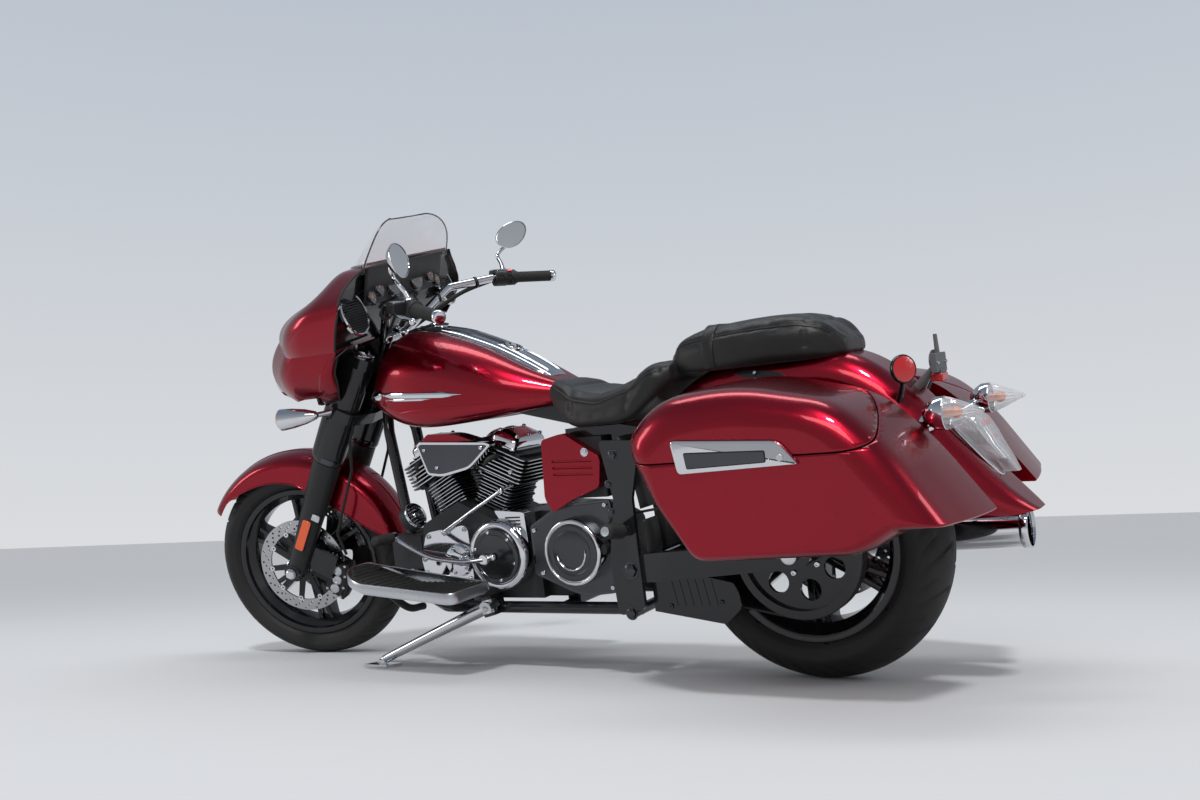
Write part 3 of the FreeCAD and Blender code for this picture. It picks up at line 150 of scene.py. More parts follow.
# Finish of the CAD nodes that stay as they are
def soft_shading():
    """Nodes that round the shading across shallow edges and leave the shape alone."""
    group = bpy.data.node_groups.new("soft_shading", "GeometryNodeTree")
    for way in ("INPUT", "OUTPUT"):
        group.interface.new_socket("Geometry", in_out=way, socket_type="NodeSocketGeometry")
    nodes, links = group.nodes, group.links
    start, end = nodes.new("NodeGroupInput"), nodes.new("NodeGroupOutput")
    weld = nodes.new("GeometryNodeMergeByDistance")
    weld.inputs["Distance"].default_value = 0.00002
    faces, edges = nodes.new("GeometryNodeSetShadeSmooth"), nodes.new("GeometryNodeSetShadeSmooth")
    faces.domain, edges.domain = "FACE", "EDGE"
    bend, low = nodes.new("GeometryNodeInputMeshEdgeAngle"), nodes.new("FunctionNodeCompare")
    low.data_type, low.operation = "FLOAT", "LESS_THAN"
    low.inputs["B"].default_value = radians(32)
    links.new(bend.outputs["Unsigned Angle"], low.inputs["A"])
    links.new(low.outputs["Result"], edges.inputs["Shade Smooth"])
    for a, b in ((start, weld), (weld, faces), (faces, edges), (edges, end)):
        links.new(a.outputs["Geometry"], b.inputs["Geometry"])
    return group


SOFT_SHADING = soft_shading()


def cad(node, material):
    """Keeps a CAD node and gives it its finish."""
    o = NODES[node]
    o.data.materials.clear()
    o.data.materials.append(material)
    o.modifiers.new("soft_shading", "NODES").node_group = SOFT_SHADING


# Mesh building: a part is a pair of vertices and faces, and a list of parts stands for all of them
BEVEL_STEPS, BEVEL_FROM = 3, radians(35)


def merge(*parts):
    verts, faces = [], []
    for v, f in parts:
        base = len(verts)
        verts += [tuple(p) for p in v]
        faces += [tuple(i + base for i in face) for face in f]
    return verts, faces


def joined(part):
    return merge(*part) if isinstance(part, list) else part


def add(name, part, material, body="chassis", at=None, replaces=(), bevel=0.0, solid=0.0,
        sharp=40.0):
    """A piece from millimetre vertices in one of the frames above, by default its body's own."""
    verts, faces = joined(part)
    mesh = bpy.data.meshes.new(name)
    mesh.from_pydata([tuple(v) for v in verts], [], [tuple(f) for f in faces])
    mesh.transform(at or HOMES.get(body, PARKED))
    bm = bmesh.new()
    bm.from_mesh(mesh)
    bmesh.ops.remove_doubles(bm, verts=bm.verts, dist=0.00001)
    bmesh.ops.recalc_face_normals(bm, faces=bm.faces)
    for f in bm.faces:
        f.smooth = True
    for e in bm.edges:
        if len(e.link_faces) == 2 and e.calc_face_angle(0) > radians(sharp):
            e.smooth = False
    bm.to_mesh(mesh)
    bm.free()
    mesh.materials.append(material)
    o = bpy.data.objects.new(name, mesh)
    scene.collection.objects.link(o)
    if solid:
        mod = o.modifiers.new("solid", "SOLIDIFY")
        mod.thickness, mod.offset = solid / 1000, -1
    if bevel:
        mod = o.modifiers.new("bevel", "BEVEL")
        mod.width, mod.segments, mod.harden_normals = bevel / 1000, BEVEL_STEPS, True
        mod.limit_method, mod.angle_limit = "ANGLE", BEVEL_FROM
    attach(o, body)
    if replaces:
        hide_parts(*replaces)
    return o


def flip(part):
    """The same mesh on the other side of the bike."""
    verts, faces = joined(part)
    return [(x, -y, z) for x, y, z in verts], [tuple(reversed(f)) for f in faces]


def handed(part, side):
    """A mesh of the left side, or its mirror image for the right side."""
    return joined(part) if side > 0 else flip(part)


def pair(part):
    return merge(joined(part), flip(part))


def moved(part, matrix):
    verts, faces = joined(part)
    return [tuple(matrix @ Vector(v)) for v in verts], faces


def shift(part, x=0, y=0, z=0):
    verts, faces = joined(part)
    return [(a + x, b + y, c + z) for a, b, c in verts], faces


def skin(rows, closed=False, caps=False, loop=False):
    """Quads between rows of equally many points."""
    n = len(rows[0])
    verts = [tuple(p) for row in rows for p in row]
    faces = []
    for i in range(len(rows) if loop else len(rows) - 1):
        j = (i + 1) % len(rows)
        for k in range(n if closed else n - 1):
            k2 = (k + 1) % n
            faces.append((i * n + k, i * n + k2, j * n + k2, j * n + k))
    if caps:
        faces += [tuple(reversed(range(n))), tuple((len(rows) - 1) * n + k for k in range(n))]
    return verts, faces


def loft(rings):
    """Closed solid through rings of equally many points."""
    return skin(rings, closed=True, caps=True)


def basis(origin, along, up=(0, 0, 1)):
    """Frame at a point: its Y along a direction, its Z as near up as can be."""
    y = Vector(along).normalized()
    x = y.cross(Vector(up))
    if x.length < 1e-3:
        x = y.cross(Vector((1, 0, 0)))
    x.normalize()
    z = x.cross(y)
    m = Matrix((x, y, z)).transposed().to_4x4()
    m.translation = Vector(origin)
    return m


def turned(profile, count=64, start=0.0, sweep=360.0, closed=False):
    """(y, r) profile turned about the Y axis; angles run from ahead, up and over."""
    whole = abs(sweep) >= 359.9
    angles = [radians(start + sweep * i / count) for i in range(count if whole else count + 1)]
    rows = [[(r * cos(a), y, r * sin(a)) for y, r in profile] for a in angles]
    return skin(rows, closed=closed, caps=closed and not whole, loop=whole)


def spline(points, steps=8):
    """Points along a smooth curve through the given ones."""
    pts = [Vector(p) for p in points]
    out = []
    for i, (p1, p2) in enumerate(zip(pts, pts[1:])):
        p0 = pts[i - 1] if i else p1 * 2 - p2
        p3 = pts[i + 2] if i < len(pts) - 2 else p2 * 2 - p1
        for s in range(steps):
            t = s / steps
            out.append(0.5 * ((2 * p1) + (p2 - p0) * t + (2 * p0 - 5 * p1 + 4 * p2 - p3) * t * t
                              + (3 * p1 - p0 - 3 * p2 + p3) * t ** 3))
    return out + [pts[-1]]


def smooth_rows(table, steps):
    """Rows of a table of up to four numbers, with smooth steps between them."""
    return [tuple(v) for v in spline(table, steps)]


PARALLEL = 0.05


def tube(points, radius, sides=12, steps=8, flat=1.0, capped=True):
    """Round or flattened tube along a curve, or straight at one step; radius may be a list, one a point."""
    path = spline(points, steps)
    radii = radius if isinstance(radius, (list, tuple)) else [radius] * len(points)
    rings, normal = [], None
    for i, p in enumerate(path):
        k = min(i // steps, len(radii) - 2)
        r = radii[k] + (radii[k + 1] - radii[k]) * (i / steps - k)
        d = (path[min(i + 1, len(path) - 1)] - path[max(i - 1, 0)]).normalized()
        if normal is None:
            normal = d.cross(Vector((0, 0, 1)))
            if normal.length < PARALLEL:
                normal = d.cross(Vector((0, 1, 0)))
        normal = (normal - d * normal.dot(d)).normalized()
        side = d.cross(normal) * flat
        angles = [2 * pi * k / sides for k in range(sides)]
        rings.append([p + normal * cos(a) * r + side * sin(a) * r for a in angles])
    return skin(rings, closed=True, caps=capped)


def slab(outline, y0, y1):
    """Side-view outline of (x, z) points, as thick as from y0 to y1."""
    return loft([[(x, y, z) for x, z in outline] for y in (y0, y1)])


def block(x0, x1, y0, y1, z0, z1):
    return slab([(x0, z0), (x1, z0), (x1, z1), (x0, z1)], y0, y1)


def polar(r, degrees):
    return r * cos(radians(degrees)), r * sin(radians(degrees))


def circle(x, z, r, count=24, start=0.0):
    """Points round a centre, the first at an angle in degrees."""
    spots = [polar(r, start + 360 * i / count) for i in range(count)]
    return [(x + a, z + b) for a, b in spots]


def rounded(points, radius, steps=5):
    """Closed 2-D outline with its corners rounded."""
    out = []
    n = len(points)
    for i in range(n):
        p, a, b = Vector(points[i]), Vector(points[i - 1]), Vector(points[(i + 1) % n])
        r = radius[i] if isinstance(radius, (list, tuple)) else radius
        if r <= 0:
            out.append(tuple(p))
            continue
        u, v = (a - p), (b - p)
        r = min(r, u.length * 0.49, v.length * 0.49)
        u, v = p + u.normalized() * r, p + v.normalized() * r
        for s in range(steps + 1):
            t = s / steps
            out.append(tuple(u * (1 - t) ** 2 + p * 2 * t * (1 - t) + v * t * t))
    return out


def box_line(x0, x1, z0, z1, bend, steps=5):
    """Rectangle with rounded corners."""
    return rounded([(x0, z0), (x1, z0), (x1, z1), (x0, z1)], bend, steps)


def plate(x0, x1, z0, z1, bend, y0, y1, steps=5):
    """Flat piece with rounded corners, as thick as from y0 to y1."""
    return slab(box_line(x0, x1, z0, z1, bend, steps), y0, y1)


def ball(centre, r, count=16):
    rings = []
    for i in range(9):
        z, reach = polar(r, 180 * i / 8)
        rings.append([(x, y, centre[2] + z) for x, y in circle(centre[0], centre[1], reach, count)])
    return skin(rings, closed=True)


def screw(at, along, r=5.0, h=4.0):
    """Cap screw with a hexagon socket, seated at a point."""
    profile = [(0, 0), (0, r), (h * 0.75, r), (h, r * 0.8), (h, r * 0.5), (h * 0.3, r * 0.45), (h * 0.3, 0)]
    return moved(turned(profile, 12), basis(at, along))


def screws(places, along, r, h):
    return merge(*[screw(p, along, r, h) for p in places])


def hexnut(at, along, r=8.0, h=6.0):
    return moved(turned([(0, 0), (0, r), (h * 0.8, r), (h, r * 0.82), (h, 0)], 6), basis(at, along))


# Tyres: a moulded tread whose grid follows its grooves, then sidewalls and beads
TREAD = 5.0


def tyre(name, radius, half, crown, bead_y, top, pitches, sweep, node, body, at):
    centre = radius - crown
    edge = math.asin(half / crown)
    side_s = centre + math.sqrt(crown ** 2 - half ** 2)
    rows = []
    for i in range(29):
        s = i / 14 - 1
        a = edge * s
        rows.append((crown * sin(a), centre + crown * cos(a), abs(s), 1.0))
    bulge = ((half + bead_y) / 2 + 6, (side_s + top) / 2)
    for i in range(1, 11):
        t = i / 10
        y = half * (1 - t) ** 2 + (2 * bulge[0] - (half + bead_y) / 2) * 2 * t * (1 - t) + bead_y * t * t
        r = side_s * (1 - t) + top * t
        rib = 1.1 if i in (2, 7) else 0.0
        rows.append((y + rib, r, 1.0, 0.0))
        rows.insert(0, (-y - rib, r, 1.0, 0.0))
    long_groove = (0.10, 0.93)
    short_groove = (0.62, 1.0)
    columns = [(0.0, 0), (0.035, 1), (0.085, 1), (0.12, 0), (0.3, 0), (0.5, 0), (0.53, 2), (0.565, 2),
               (0.6, 0), (0.8, 0)]
    verts, faces = [], []
    for p in range(pitches):
        for share, groove in columns:
            for y, r, s, tread in rows:
                offset = sweep * s ** 1.7
                half_pitch = 0.5 if y < 0 else 0.0
                angle = radians(360 * (p + share + half_pitch) / pitches + offset)
                depth = 0.0
                if tread and ((groove == 1 and long_groove[0] < s < long_groove[1])
                              or (groove == 2 and short_groove[0] < s < short_groove[1])):
                    depth = TREAD * min(1.0, (1.03 - s) * 5, (s - 0.05) * 8)
                verts.append(((r - depth) * cos(angle), y, (r - depth) * sin(angle)))
    n, total = len(rows), pitches * len(columns)
    for i in range(total):
        j = (i + 1) % total
        faces += [(i * n + k, i * n + k + 1, j * n + k + 1, j * n + k) for k in range(n - 1)]
    inner = turned([(bead_y, top), (bead_y - 2, top - 14), (bead_y - 12, top - 14), (bead_y - 14, top + 4),
                    (half - 12, side_s - 2), (0, radius - 14), (12 - half, side_s - 2),
                    (14 - bead_y, top + 4), (12 - bead_y, top - 14), (2 - bead_y, top - 14),
                    (-bead_y, top)], 72)
    add(name, [(verts, faces), inner], TYRE, body, at, replaces=[node], sharp=50)


tyre("front_tyre_tread", 320, 65, 75, 46.7, 243.6, 26, 9, "front_tyre", "front_wheel", FRONT)
tyre("rear_tyre_tread", 330, 95, 110, 76.7, 230.9, 20, 13, "rear_tyre", "rear_wheel", REAR)


def cutout(outline, holes, y0, y1):
    """Flat piece of (x, z) outline with holes through it, from y0 to y1."""
    curve = bpy.data.curves.new("cutout", "CURVE")
    curve.dimensions, curve.fill_mode, curve.extrude = "2D", "BOTH", (y1 - y0) / 2
    for loop in [outline] + holes:
        s = curve.splines.new("POLY")
        s.points.add(len(loop) - 1)
        for point, (x, z) in zip(s.points, loop):
            point.co = (x, z, 0, 1)
        s.use_cyclic_u = True
    o = bpy.data.objects.new("cutout", curve)
    scene.collection.objects.link(o)
    mesh = bpy.data.meshes.new_from_object(o.evaluated_get(bpy.context.evaluated_depsgraph_get()))
    verts = [(v.co.x, (y0 + y1) / 2 + v.co.z, v.co.y) for v in mesh.vertices]
    faces = [tuple(f.vertices) for f in mesh.polygons]
    bpy.data.objects.remove(o)
    bpy.data.curves.remove(curve)
    bpy.data.meshes.remove(mesh)
    return verts, faces


def across_axle(degrees):
    return Matrix.Rotation(radians(degrees), 4, "Y")


def around(part, count, start=0.0):
    """A part repeated round the axle."""
    return merge(*[moved(part, across_axle(-start - 360 * i / count)) for i in range(count)])


def spoke_size(t, half, hub_half, end):
    """Half width and half depth of a spoke at a share of its length."""
    w = 11 * (1 - t) ** 2 + 6.5 * 2 * t * (1 - t) + end * t * t
    return w, hub_half * 0.62 * (1 - t) + half * 0.40 * t


def rim(name, seat, half, hub_r, hub_half, node, body, at):
    lip, well, axle, pitch, lean = 13, 20, 14, 8.0, 2.5
    top = [(half, seat + lip - 2), (half - 1.5, seat + lip), (half - 4, seat + lip),
           (half - 6, seat + lip - 3), (half - 6, seat + 1), (half * 0.55, seat),
           (half * 0.35, seat - well), (0, seat - well)]
    under = [(half, seat + lip - 6), (half - 3, seat - 4), (half * 0.72, seat - 7),
             (half * 0.45, seat - well - 5), (0, seat - well - 7)]
    ring = top + [(-y, r) for y, r in reversed(top[:-1])] + [(-y, r) for y, r in under[:-1]]
    ring += [under[-1]] + list(reversed(under[:-1]))
    hub = [(-hub_half, axle), (-hub_half, hub_r - 3), (-hub_half + 3, hub_r), (-hub_half * 0.7, hub_r - 4),
           (-hub_half * 0.4, hub_r + 2), (0, hub_r + 5), (hub_half * 0.4, hub_r + 2),
           (hub_half * 0.7, hub_r - 4), (hub_half - 3, hub_r), (hub_half, hub_r - 3), (hub_half, axle)]
    foot, tip = hub_r - 2, seat - well + 1
    rows = []
    for t in (0.0, 0.12, 0.4, 0.7, 0.9, 1.0):
        r = foot + (tip - foot) * t
        w, y = spoke_size(t, half, hub_half, 9 if t > 0.95 else 7.5)
        rows.append([(a, b, r) for a, b in box_line(-w, w, -y, y, 4, 3)])
    blade = skin(rows, closed=True)
    spokes = [around(moved(blade, across_axle(s * lean)), 6, s * pitch) for s in (1, -1)]
    valve = tube([(0, 8, seat - well - 6), (0, 12, seat - well - 30)], 3.5, 8, 1)
    body_mesh = merge(turned(ring, 128, closed=True), turned(hub, 48), *spokes, valve)
    add(name, body_mesh, GLOSS_BLACK, body, at, replaces=[node], sharp=35)
    edge_rows = []
    for t in (0.18, 0.5, 0.86):
        r = foot + (tip - foot) * t
        w, y = spoke_size(t, half, hub_half, 7.5)
        edge_rows.append([(w + 0.15, y - 4.8, r), (w + 0.15, y - 2.0, r)])
    trail = moved(skin(edge_rows), across_axle(lean))
    lead = moved(skin([[(-x, y, z) for x, y, z in row] for row in edge_rows]), across_axle(-lean))
    bright = pair([around(trail, 6, pitch), around(lead, 6, -pitch)])
    add(name + "_machined_edges", bright, SATIN, body, at)


rim("front_rim_cast", 228.6, 52, 40, 75, "front_rim", "front_wheel", FRONT)
rim("rear_rim_cast", 215.9, 82, 48, 105, "rear_rim", "rear_wheel", REAR)


def rotor(radius, inner, y, bobbins):
    """Drilled brake ring and the bobbins that hold it."""
    outline = circle(0, 0, radius, 180)
    holes = [circle(0, 0, inner, 120)]
    for i in range(24):
        for k, share in enumerate((0.24, 0.5, 0.76)):
            a = 2 * pi * (i + k * 0.33) / 24
            r = inner + (radius - inner) * share
            holes.append(circle(r * cos(a), r * sin(a), 3.6, 10))
    ring = cutout(outline, holes, y - 2.5, y + 2.5)
    stud = turned([(-4.5, 3), (-4.5, 8), (4.5, 8), (4.5, 3)], 16, closed=True)
    return ring, around(shift(stud, inner - 2, y), bobbins)


def carrier(inner, hub_r, y, bobbins):
    """Star-shaped plate between the hub and the bobbins."""
    arms = []
    for i in range(bobbins):
        a = 2 * pi * i / bobbins
        arms += [(a - 0.20, hub_r + 10), (a - 0.085, inner - 14), (a - 0.075, inner + 4),
                 (a + 0.075, inner + 4), (a + 0.085, inner - 14), (a + 0.20, hub_r + 10)]
    outline = [(r * cos(t), r * sin(t)) for t, r in arms]
    holes = [circle(0, 0, hub_r - 12, 40)]
    for i in range(bobbins // 2):
        a = 2 * pi * (i + 0.25) / (bobbins // 2)
        holes.append(circle((hub_r + 2) * cos(a), (hub_r + 2) * sin(a), 4, 10))
    return cutout(outline, holes, y - 2.4, y + 2.4)


ring, studs = rotor(149, 113, 78, 10)
add("front_brake_rings", pair(ring), STEEL, "front_wheel", replaces=["front_discs"])
add("front_disc_bobbins", pair(studs), CHROME, "front_wheel")
add("front_disc_carriers", pair(carrier(113, 40, 78, 10)), SATIN_BLACK, "front_wheel")
bolts = screws([(x, 77.5, z) for x, z in circle(0, 0, 28, 5)], (0, 1, 0), 5, 4)
add("front_disc_bolts", pair(bolts), CHROME, "front_wheel")
ring, studs = rotor(160, 118, -108, 10)
add("rear_brake_ring", ring, STEEL, "rear_wheel", replaces=["rear_disc"])
add("rear_disc_bobbins", studs, CHROME, "rear_wheel")
add("rear_disc_carrier", carrier(118, 48, -108, 10), SATIN_BLACK, "rear_wheel")

# Rear pulley: toothed rim, cast web and bolts; the belt runs on it
TIP, ROOT, TEETH = 154.8, 152.4, 70
TOOTH = ((TIP, 0), (TIP, 0.035), (ROOT, 0.045), (ROOT, 0.08))
teeth = []
for i in range(TEETH):
    a = 2 * pi * i / TEETH
    teeth += [(r * cos(a + turn), r * sin(a + turn)) for r, turn in TOOTH]
web_holes = [circle(x, z, 26) for x, z in circle(0, 0, 94, 7)] + [circle(0, 0, 14)]
pulley = [cutout(teeth, [circle(0, 0, 140, 90)], 104, 132),
          cutout(circle(0, 0, 142, 96), web_holes, 112, 122),
          turned([(132, 140), (132, 159), (134.5, 159), (134.5, 140)], 96, closed=True),
          turned([(104, 13), (104, 40), (132, 40), (132, 13)], 32)]
add("rear_pulley_cast", pulley, GLOSS_BLACK, "rear_wheel", replaces=["rear_pulley"])
bolts = screws([(x, 122, z) for x, z in circle(0, 0, 54, 5)], (0, 1, 0), 7, 6)
add("pulley_bolts", bolts, CHROME, "rear_wheel")
add("rear_axle_nuts", pair(hexnut((0, 178, 0), (0, 1, 0), 20, 8)), CHROME, at=REAR)


# Seats: closed leather forms puffed up by cloth simulation, then seamed, piped and stitched
def seat_section(x, half, z0, z1, low, high):
    """Closed ring of a seat at one station, from the middle of its bottom round its left side."""
    corner = box_line(0, half, z0, z1, [0, low, high, 0], 4)
    right_side = [(-y, z) for y, z in reversed(corner[1:-1])]
    return [(x, y, z) for y, z in corner + right_side]


def seat_form(stations, dish=0.0):
    """Quads through sections that are spread evenly along a smooth line through the stations."""
    dense = zip(smooth_rows([s[:3] for s in stations], 6), smooth_rows([s[3:6] for s in stations], 6))
    rows = []
    for place, edge in dense:
        top = edge[0]
        section = seat_section(*place, *edge)
        rows.append([(x, y, z + (dish * (1 - (y / 150) ** 2) if z > top - 8 and abs(y) < 150 else 0))
                     for x, y, z in section])
    return loft(rows)


SWELL, TUCK, TUCK_REACH = 9.0, 3.2, 7.0
VOXEL, FRAMES = 0.0065, 20


def puffed(name, part, node, floor_z, seams):
    """Remeshed leather pad, swollen by cloth pressure up to a limit, with its seams sunk afterwards."""
    o = add(name, part, LEATHER, replaces=(node,))
    coarse = o.modifiers.new("even", "REMESH")
    coarse.mode, coarse.voxel_size = "VOXEL", VOXEL
    graph = bpy.context.evaluated_depsgraph_get()
    mesh = bpy.data.meshes.new_from_object(o.evaluated_get(graph))
    o.modifiers.clear()
    old, o.data = o.data, mesh
    bpy.data.meshes.remove(old)
    mesh.name = name
    if not mesh.materials:
        mesh.materials.append(LEATHER)
    home = PARKED.inverted()
    start = [v.co.copy() for v in mesh.vertices]
    held = o.vertex_groups.new(name="held")
    places = [home @ v.co for v in mesh.vertices]
    held.add([i for i, p in enumerate(places) if p.z < floor_z(p.x)], 1.0, "REPLACE")
    cloth = o.modifiers.new("cloth", "CLOTH")
    s = cloth.settings
    s.quality, s.mass, s.tension_stiffness, s.compression_stiffness = 5, 0.35, 18, 18
    s.bending_stiffness, s.use_pressure, s.uniform_pressure_force = 1.2, True, 4.0
    s.vertex_group_mass, s.effector_weights.gravity = "held", 0.0
    cloth.collision_settings.use_collision = cloth.collision_settings.use_self_collision = False
    cloth.point_cache.frame_start, cloth.point_cache.frame_end = 1, FRAMES
    for n in range(1, FRAMES + 1):
        scene.frame_set(n)
    graph = bpy.context.evaluated_depsgraph_get()
    swollen = [v.co.copy() for v in o.evaluated_get(graph).data.vertices]
    o.modifiers.clear()
    scene.frame_set(1)
    for v, a, b in zip(mesh.vertices, start, swollen):
        d = b - a
        v.co = a + (d * (SWELL / 1000 / d.length) if d.length > SWELL / 1000 else d)
    bm = bmesh.new()
    bm.from_mesh(mesh)
    for _ in range(3):
        bmesh.ops.smooth_vert(bm, verts=bm.verts, factor=0.5, use_axis_x=True, use_axis_y=True,
                              use_axis_z=True)
    bmesh.ops.recalc_face_normals(bm, faces=bm.faces)
    bm.normal_update()
    for v in bm.verts:
        x, y, z = home @ v.co
        near = min(seam(x, y, z) for seam in seams)
        v.co -= v.normal * (TUCK / 1000) * math.exp(-(near / TUCK_REACH) ** 2)
    for f in bm.faces:
        f.smooth = True
    bm.to_mesh(mesh)
    bm.free()
    sub = o.modifiers.new("sub", "SUBSURF")
    sub.levels = sub.render_levels = 1
    return o


def on_surface(o, points, lift=0.0):
    """Points of a line laid on a pad: each is moved to the nearest place on its surface."""
    home = PARKED.inverted()
    out = []
    for p in points:
        _, where, normal, _ = o.closest_point_on_mesh(PARKED @ Vector(p))
        out.append(home @ (where + normal * lift / 1000))
    return out


def stitches(name, line, length=5.0, gap=3.0, r=0.65):
    """Row of short threads along a line."""
    path = [Vector(p) for p in line]
    parts, walked, at = [], 0.0, 0.0
    for a, b in zip(path, path[1:]):
        span = (b - a).length
        while span and at + length < walked + span:
            t = (at - walked) / span
            if t >= 0:
                p, q = a.lerp(b, t), a.lerp(b, t + length / span)
                parts.append(tube([p, p.lerp(q, 0.5), q], [r * 0.6, r, r * 0.6], 5, 1))
            at += length + gap
        walked += span
    add(name, parts, STITCH)


# The rider's seat: dished, its front a long nose between the tank's sides
RIDER = [(716, 42, 778, 795, 6, 8), (650, 108, 716, 789, 18, 28), (570, 162, 668, 757, 28, 34),
         (480, 180, 668, 741, 22, 30), (390, 184, 672, 765, 28, 40), (320, 176, 716, 799, 28, 34),
         (266, 146, 760, 806, 18, 22)]
PILLION = [(294, 88, 796, 820, 10, 12), (250, 123, 774, 858, 18, 34), (140, 141, 772, 871, 22, 36),
           (20, 141, 772, 876, 22, 36), (-60, 129, 772, 872, 22, 36), (-116, 107, 772, 856, 22, 34),
           (-155, 68, 780, 813, 9, 15)]


def along_stations(stations, x):
    """Half width, bottom and top of a seat at a place along it."""
    for a, b in zip(stations, stations[1:]):
        if b[0] <= x <= a[0]:
            t = (a[0] - x) / (a[0] - b[0])
            return [p + (q - p) * t for p, q in zip(a[1:4], b[1:4])]
    end = stations[0] if x > stations[0][0] else stations[-1]
    return list(end[1:4])


def edge_seam(stations, inboard, drop, x0, x1):
    """Distance from the seam that runs round the top, a little inside each side."""
    def away(x, y, z):
        if not x0 < x < x1:
            return 99.0
        half, _, top = along_stations(stations, x)
        return math.hypot(abs(y) - (half - inboard), z - (top - drop))
    return away


def cross_seam(x0, half, low, lean=0.0):
    """Distance from a seam across the top that runs down both sides."""
    return lambda x, y, z: abs(x - x0 - lean * (abs(y) / half) ** 2) if z > low else 99.0


RIDER_DISH, HELD = -5.0, 14
rider = puffed("rider_seat_leather", seat_form(RIDER, RIDER_DISH), "rider_seat",
               lambda x: along_stations(RIDER, x)[1] + HELD,
               [edge_seam(RIDER, 10, 14, 290, 690), cross_seam(604, 150, 700, -34),
                cross_seam(356, 160, 690, 26)])
pillion = puffed("pillion_seat_leather", seat_form(PILLION), "pillion_seat",
                 lambda x: along_stations(PILLION, x)[1] + HELD,
                 [edge_seam(PILLION, 8, 16, -130, 270), cross_seam(-86, 120, 800, 10)])


def round_seat(stations, inboard, drop, x0, x1, side):
    """A line along one side of a seat at a distance below its top edge."""
    out, count = [], 26
    for i in range(count + 1):
        x = x0 + (x1 - x0) * i / count
        half, _, top = along_stations(stations, x)
        out.append((x, side * (half - inboard), top - drop))
    return out


for label, pad, stations, x0, x1, drop in (("rider", rider, RIDER, 300, 676, 14),
                                           ("pillion", pillion, PILLION, -126, 262, 16)):
    piping, threads = [], []
    for side, _ in SIDES:
        top_line = on_surface(pad, round_seat(stations, 8, drop, x0, x1, side), -0.6)
        piping.append(tube(top_line, 2.6, 8, 3))
        threads.append(on_surface(pad, round_seat(stations, 0, drop + 9, x0, x1, side), 0.1))
    add(label + "_piping", piping, LEATHER)
    for (_, side), line in zip(SIDES, threads):
        stitches(label + "_stitching_" + side, line)

# Strap over the front of the pillion pad, buckled flat to both sides
STRAP_X, STRAP_STEPS = 172, 32
half, low, top = along_stations(PILLION, STRAP_X)
strap_line = []
for i in range(STRAP_STEPS + 1):
    c, s = polar(1, 180 * i / STRAP_STEPS)
    strap_line.append((STRAP_X - 6 * abs(c), (half + 6) * c, low + 2 + (top + 10 - low) * min(1, 1.9 * s)))
strap_mid = on_surface(pillion, strap_line, 1.6)
STRAP = ((-15, 0), (-15, 2.4), (-12, 3.6), (12, 3.6), (15, 2.4), (15, 0), (12, -2.5), (-12, -2.5))
across = Vector((1, 0, 0))
rows = []
for i, p in enumerate(strap_mid):
    d = (strap_mid[min(i + 1, STRAP_STEPS)] - strap_mid[max(i - 1, 0)]).normalized()
    out = d.cross(across).normalized()
    if out.dot(p - Vector((STRAP_X, 0, 815))) < 0:
        out = -out
    rows.append([p + across * w + out * h for w, h in STRAP])
add("pillion_strap", loft(rows), LEATHER)
for offset in (-11.5, 11.5):
    line = [p + Vector((offset, 0, 0)) for p in on_surface(pillion, strap_line, 5.4)]
    stitches("strap_stitching_%d" % (offset > 0), line, 4.0, 2.6, 0.55)


# Engine: a twin whose banks lean ahead and back over one crank
CRANK = Matrix.Translation((1007, 0, 306))
BANK = 24.0


def carve(o, part):
    """Cuts a closed shape out of a piece for good."""
    mesh = bpy.data.meshes.new("cutter")
    mesh.from_pydata([tuple(v) for v in part[0]], [], part[1])
    mesh.transform(PARKED)
    bm = bmesh.new()
    bm.from_mesh(mesh)
    bmesh.ops.recalc_face_normals(bm, faces=bm.faces)
    bm.to_mesh(mesh)
    bm.free()
    tool = bpy.data.objects.new("cutter", mesh)
    scene.collection.objects.link(tool)
    kept = list(o.modifiers)
    for m in kept:
        m.show_viewport = False
    cut = o.modifiers.new("cut", "BOOLEAN")
    cut.object, cut.operation, cut.solver = tool, "DIFFERENCE", "EXACT"
    shaped = bpy.data.meshes.new_from_object(o.evaluated_get(bpy.context.evaluated_depsgraph_get()))
    o.modifiers.remove(cut)
    for m in kept:
        m.show_viewport = True
    shaped.name = o.data.name
    o.data = shaped
    bpy.data.objects.remove(tool)


def bank(angle):
    """Frame of a cylinder: Z along its bore from the crank's axis, X ahead across it."""
    return PARKED @ CRANK @ across_axle(angle)


def level(outline, z0, z1):
    """Outline of (x, y) points raised from z0 to z1."""
    return loft([[(x, y, z) for x, y in outline] for z in (z0, z1)])


def pad(half_x, half_y, bend, steps=6):
    return box_line(-half_x, half_x, -half_y, half_y, bend, steps)


def rim_strip(outline, z0, z1):
    """Bright band round the edge of a fin."""
    proud = 1 + 0.25 / 70
    return skin([[(x * proud, y * proud, z) for x, y in outline] for z in (z0, z1)], closed=True)


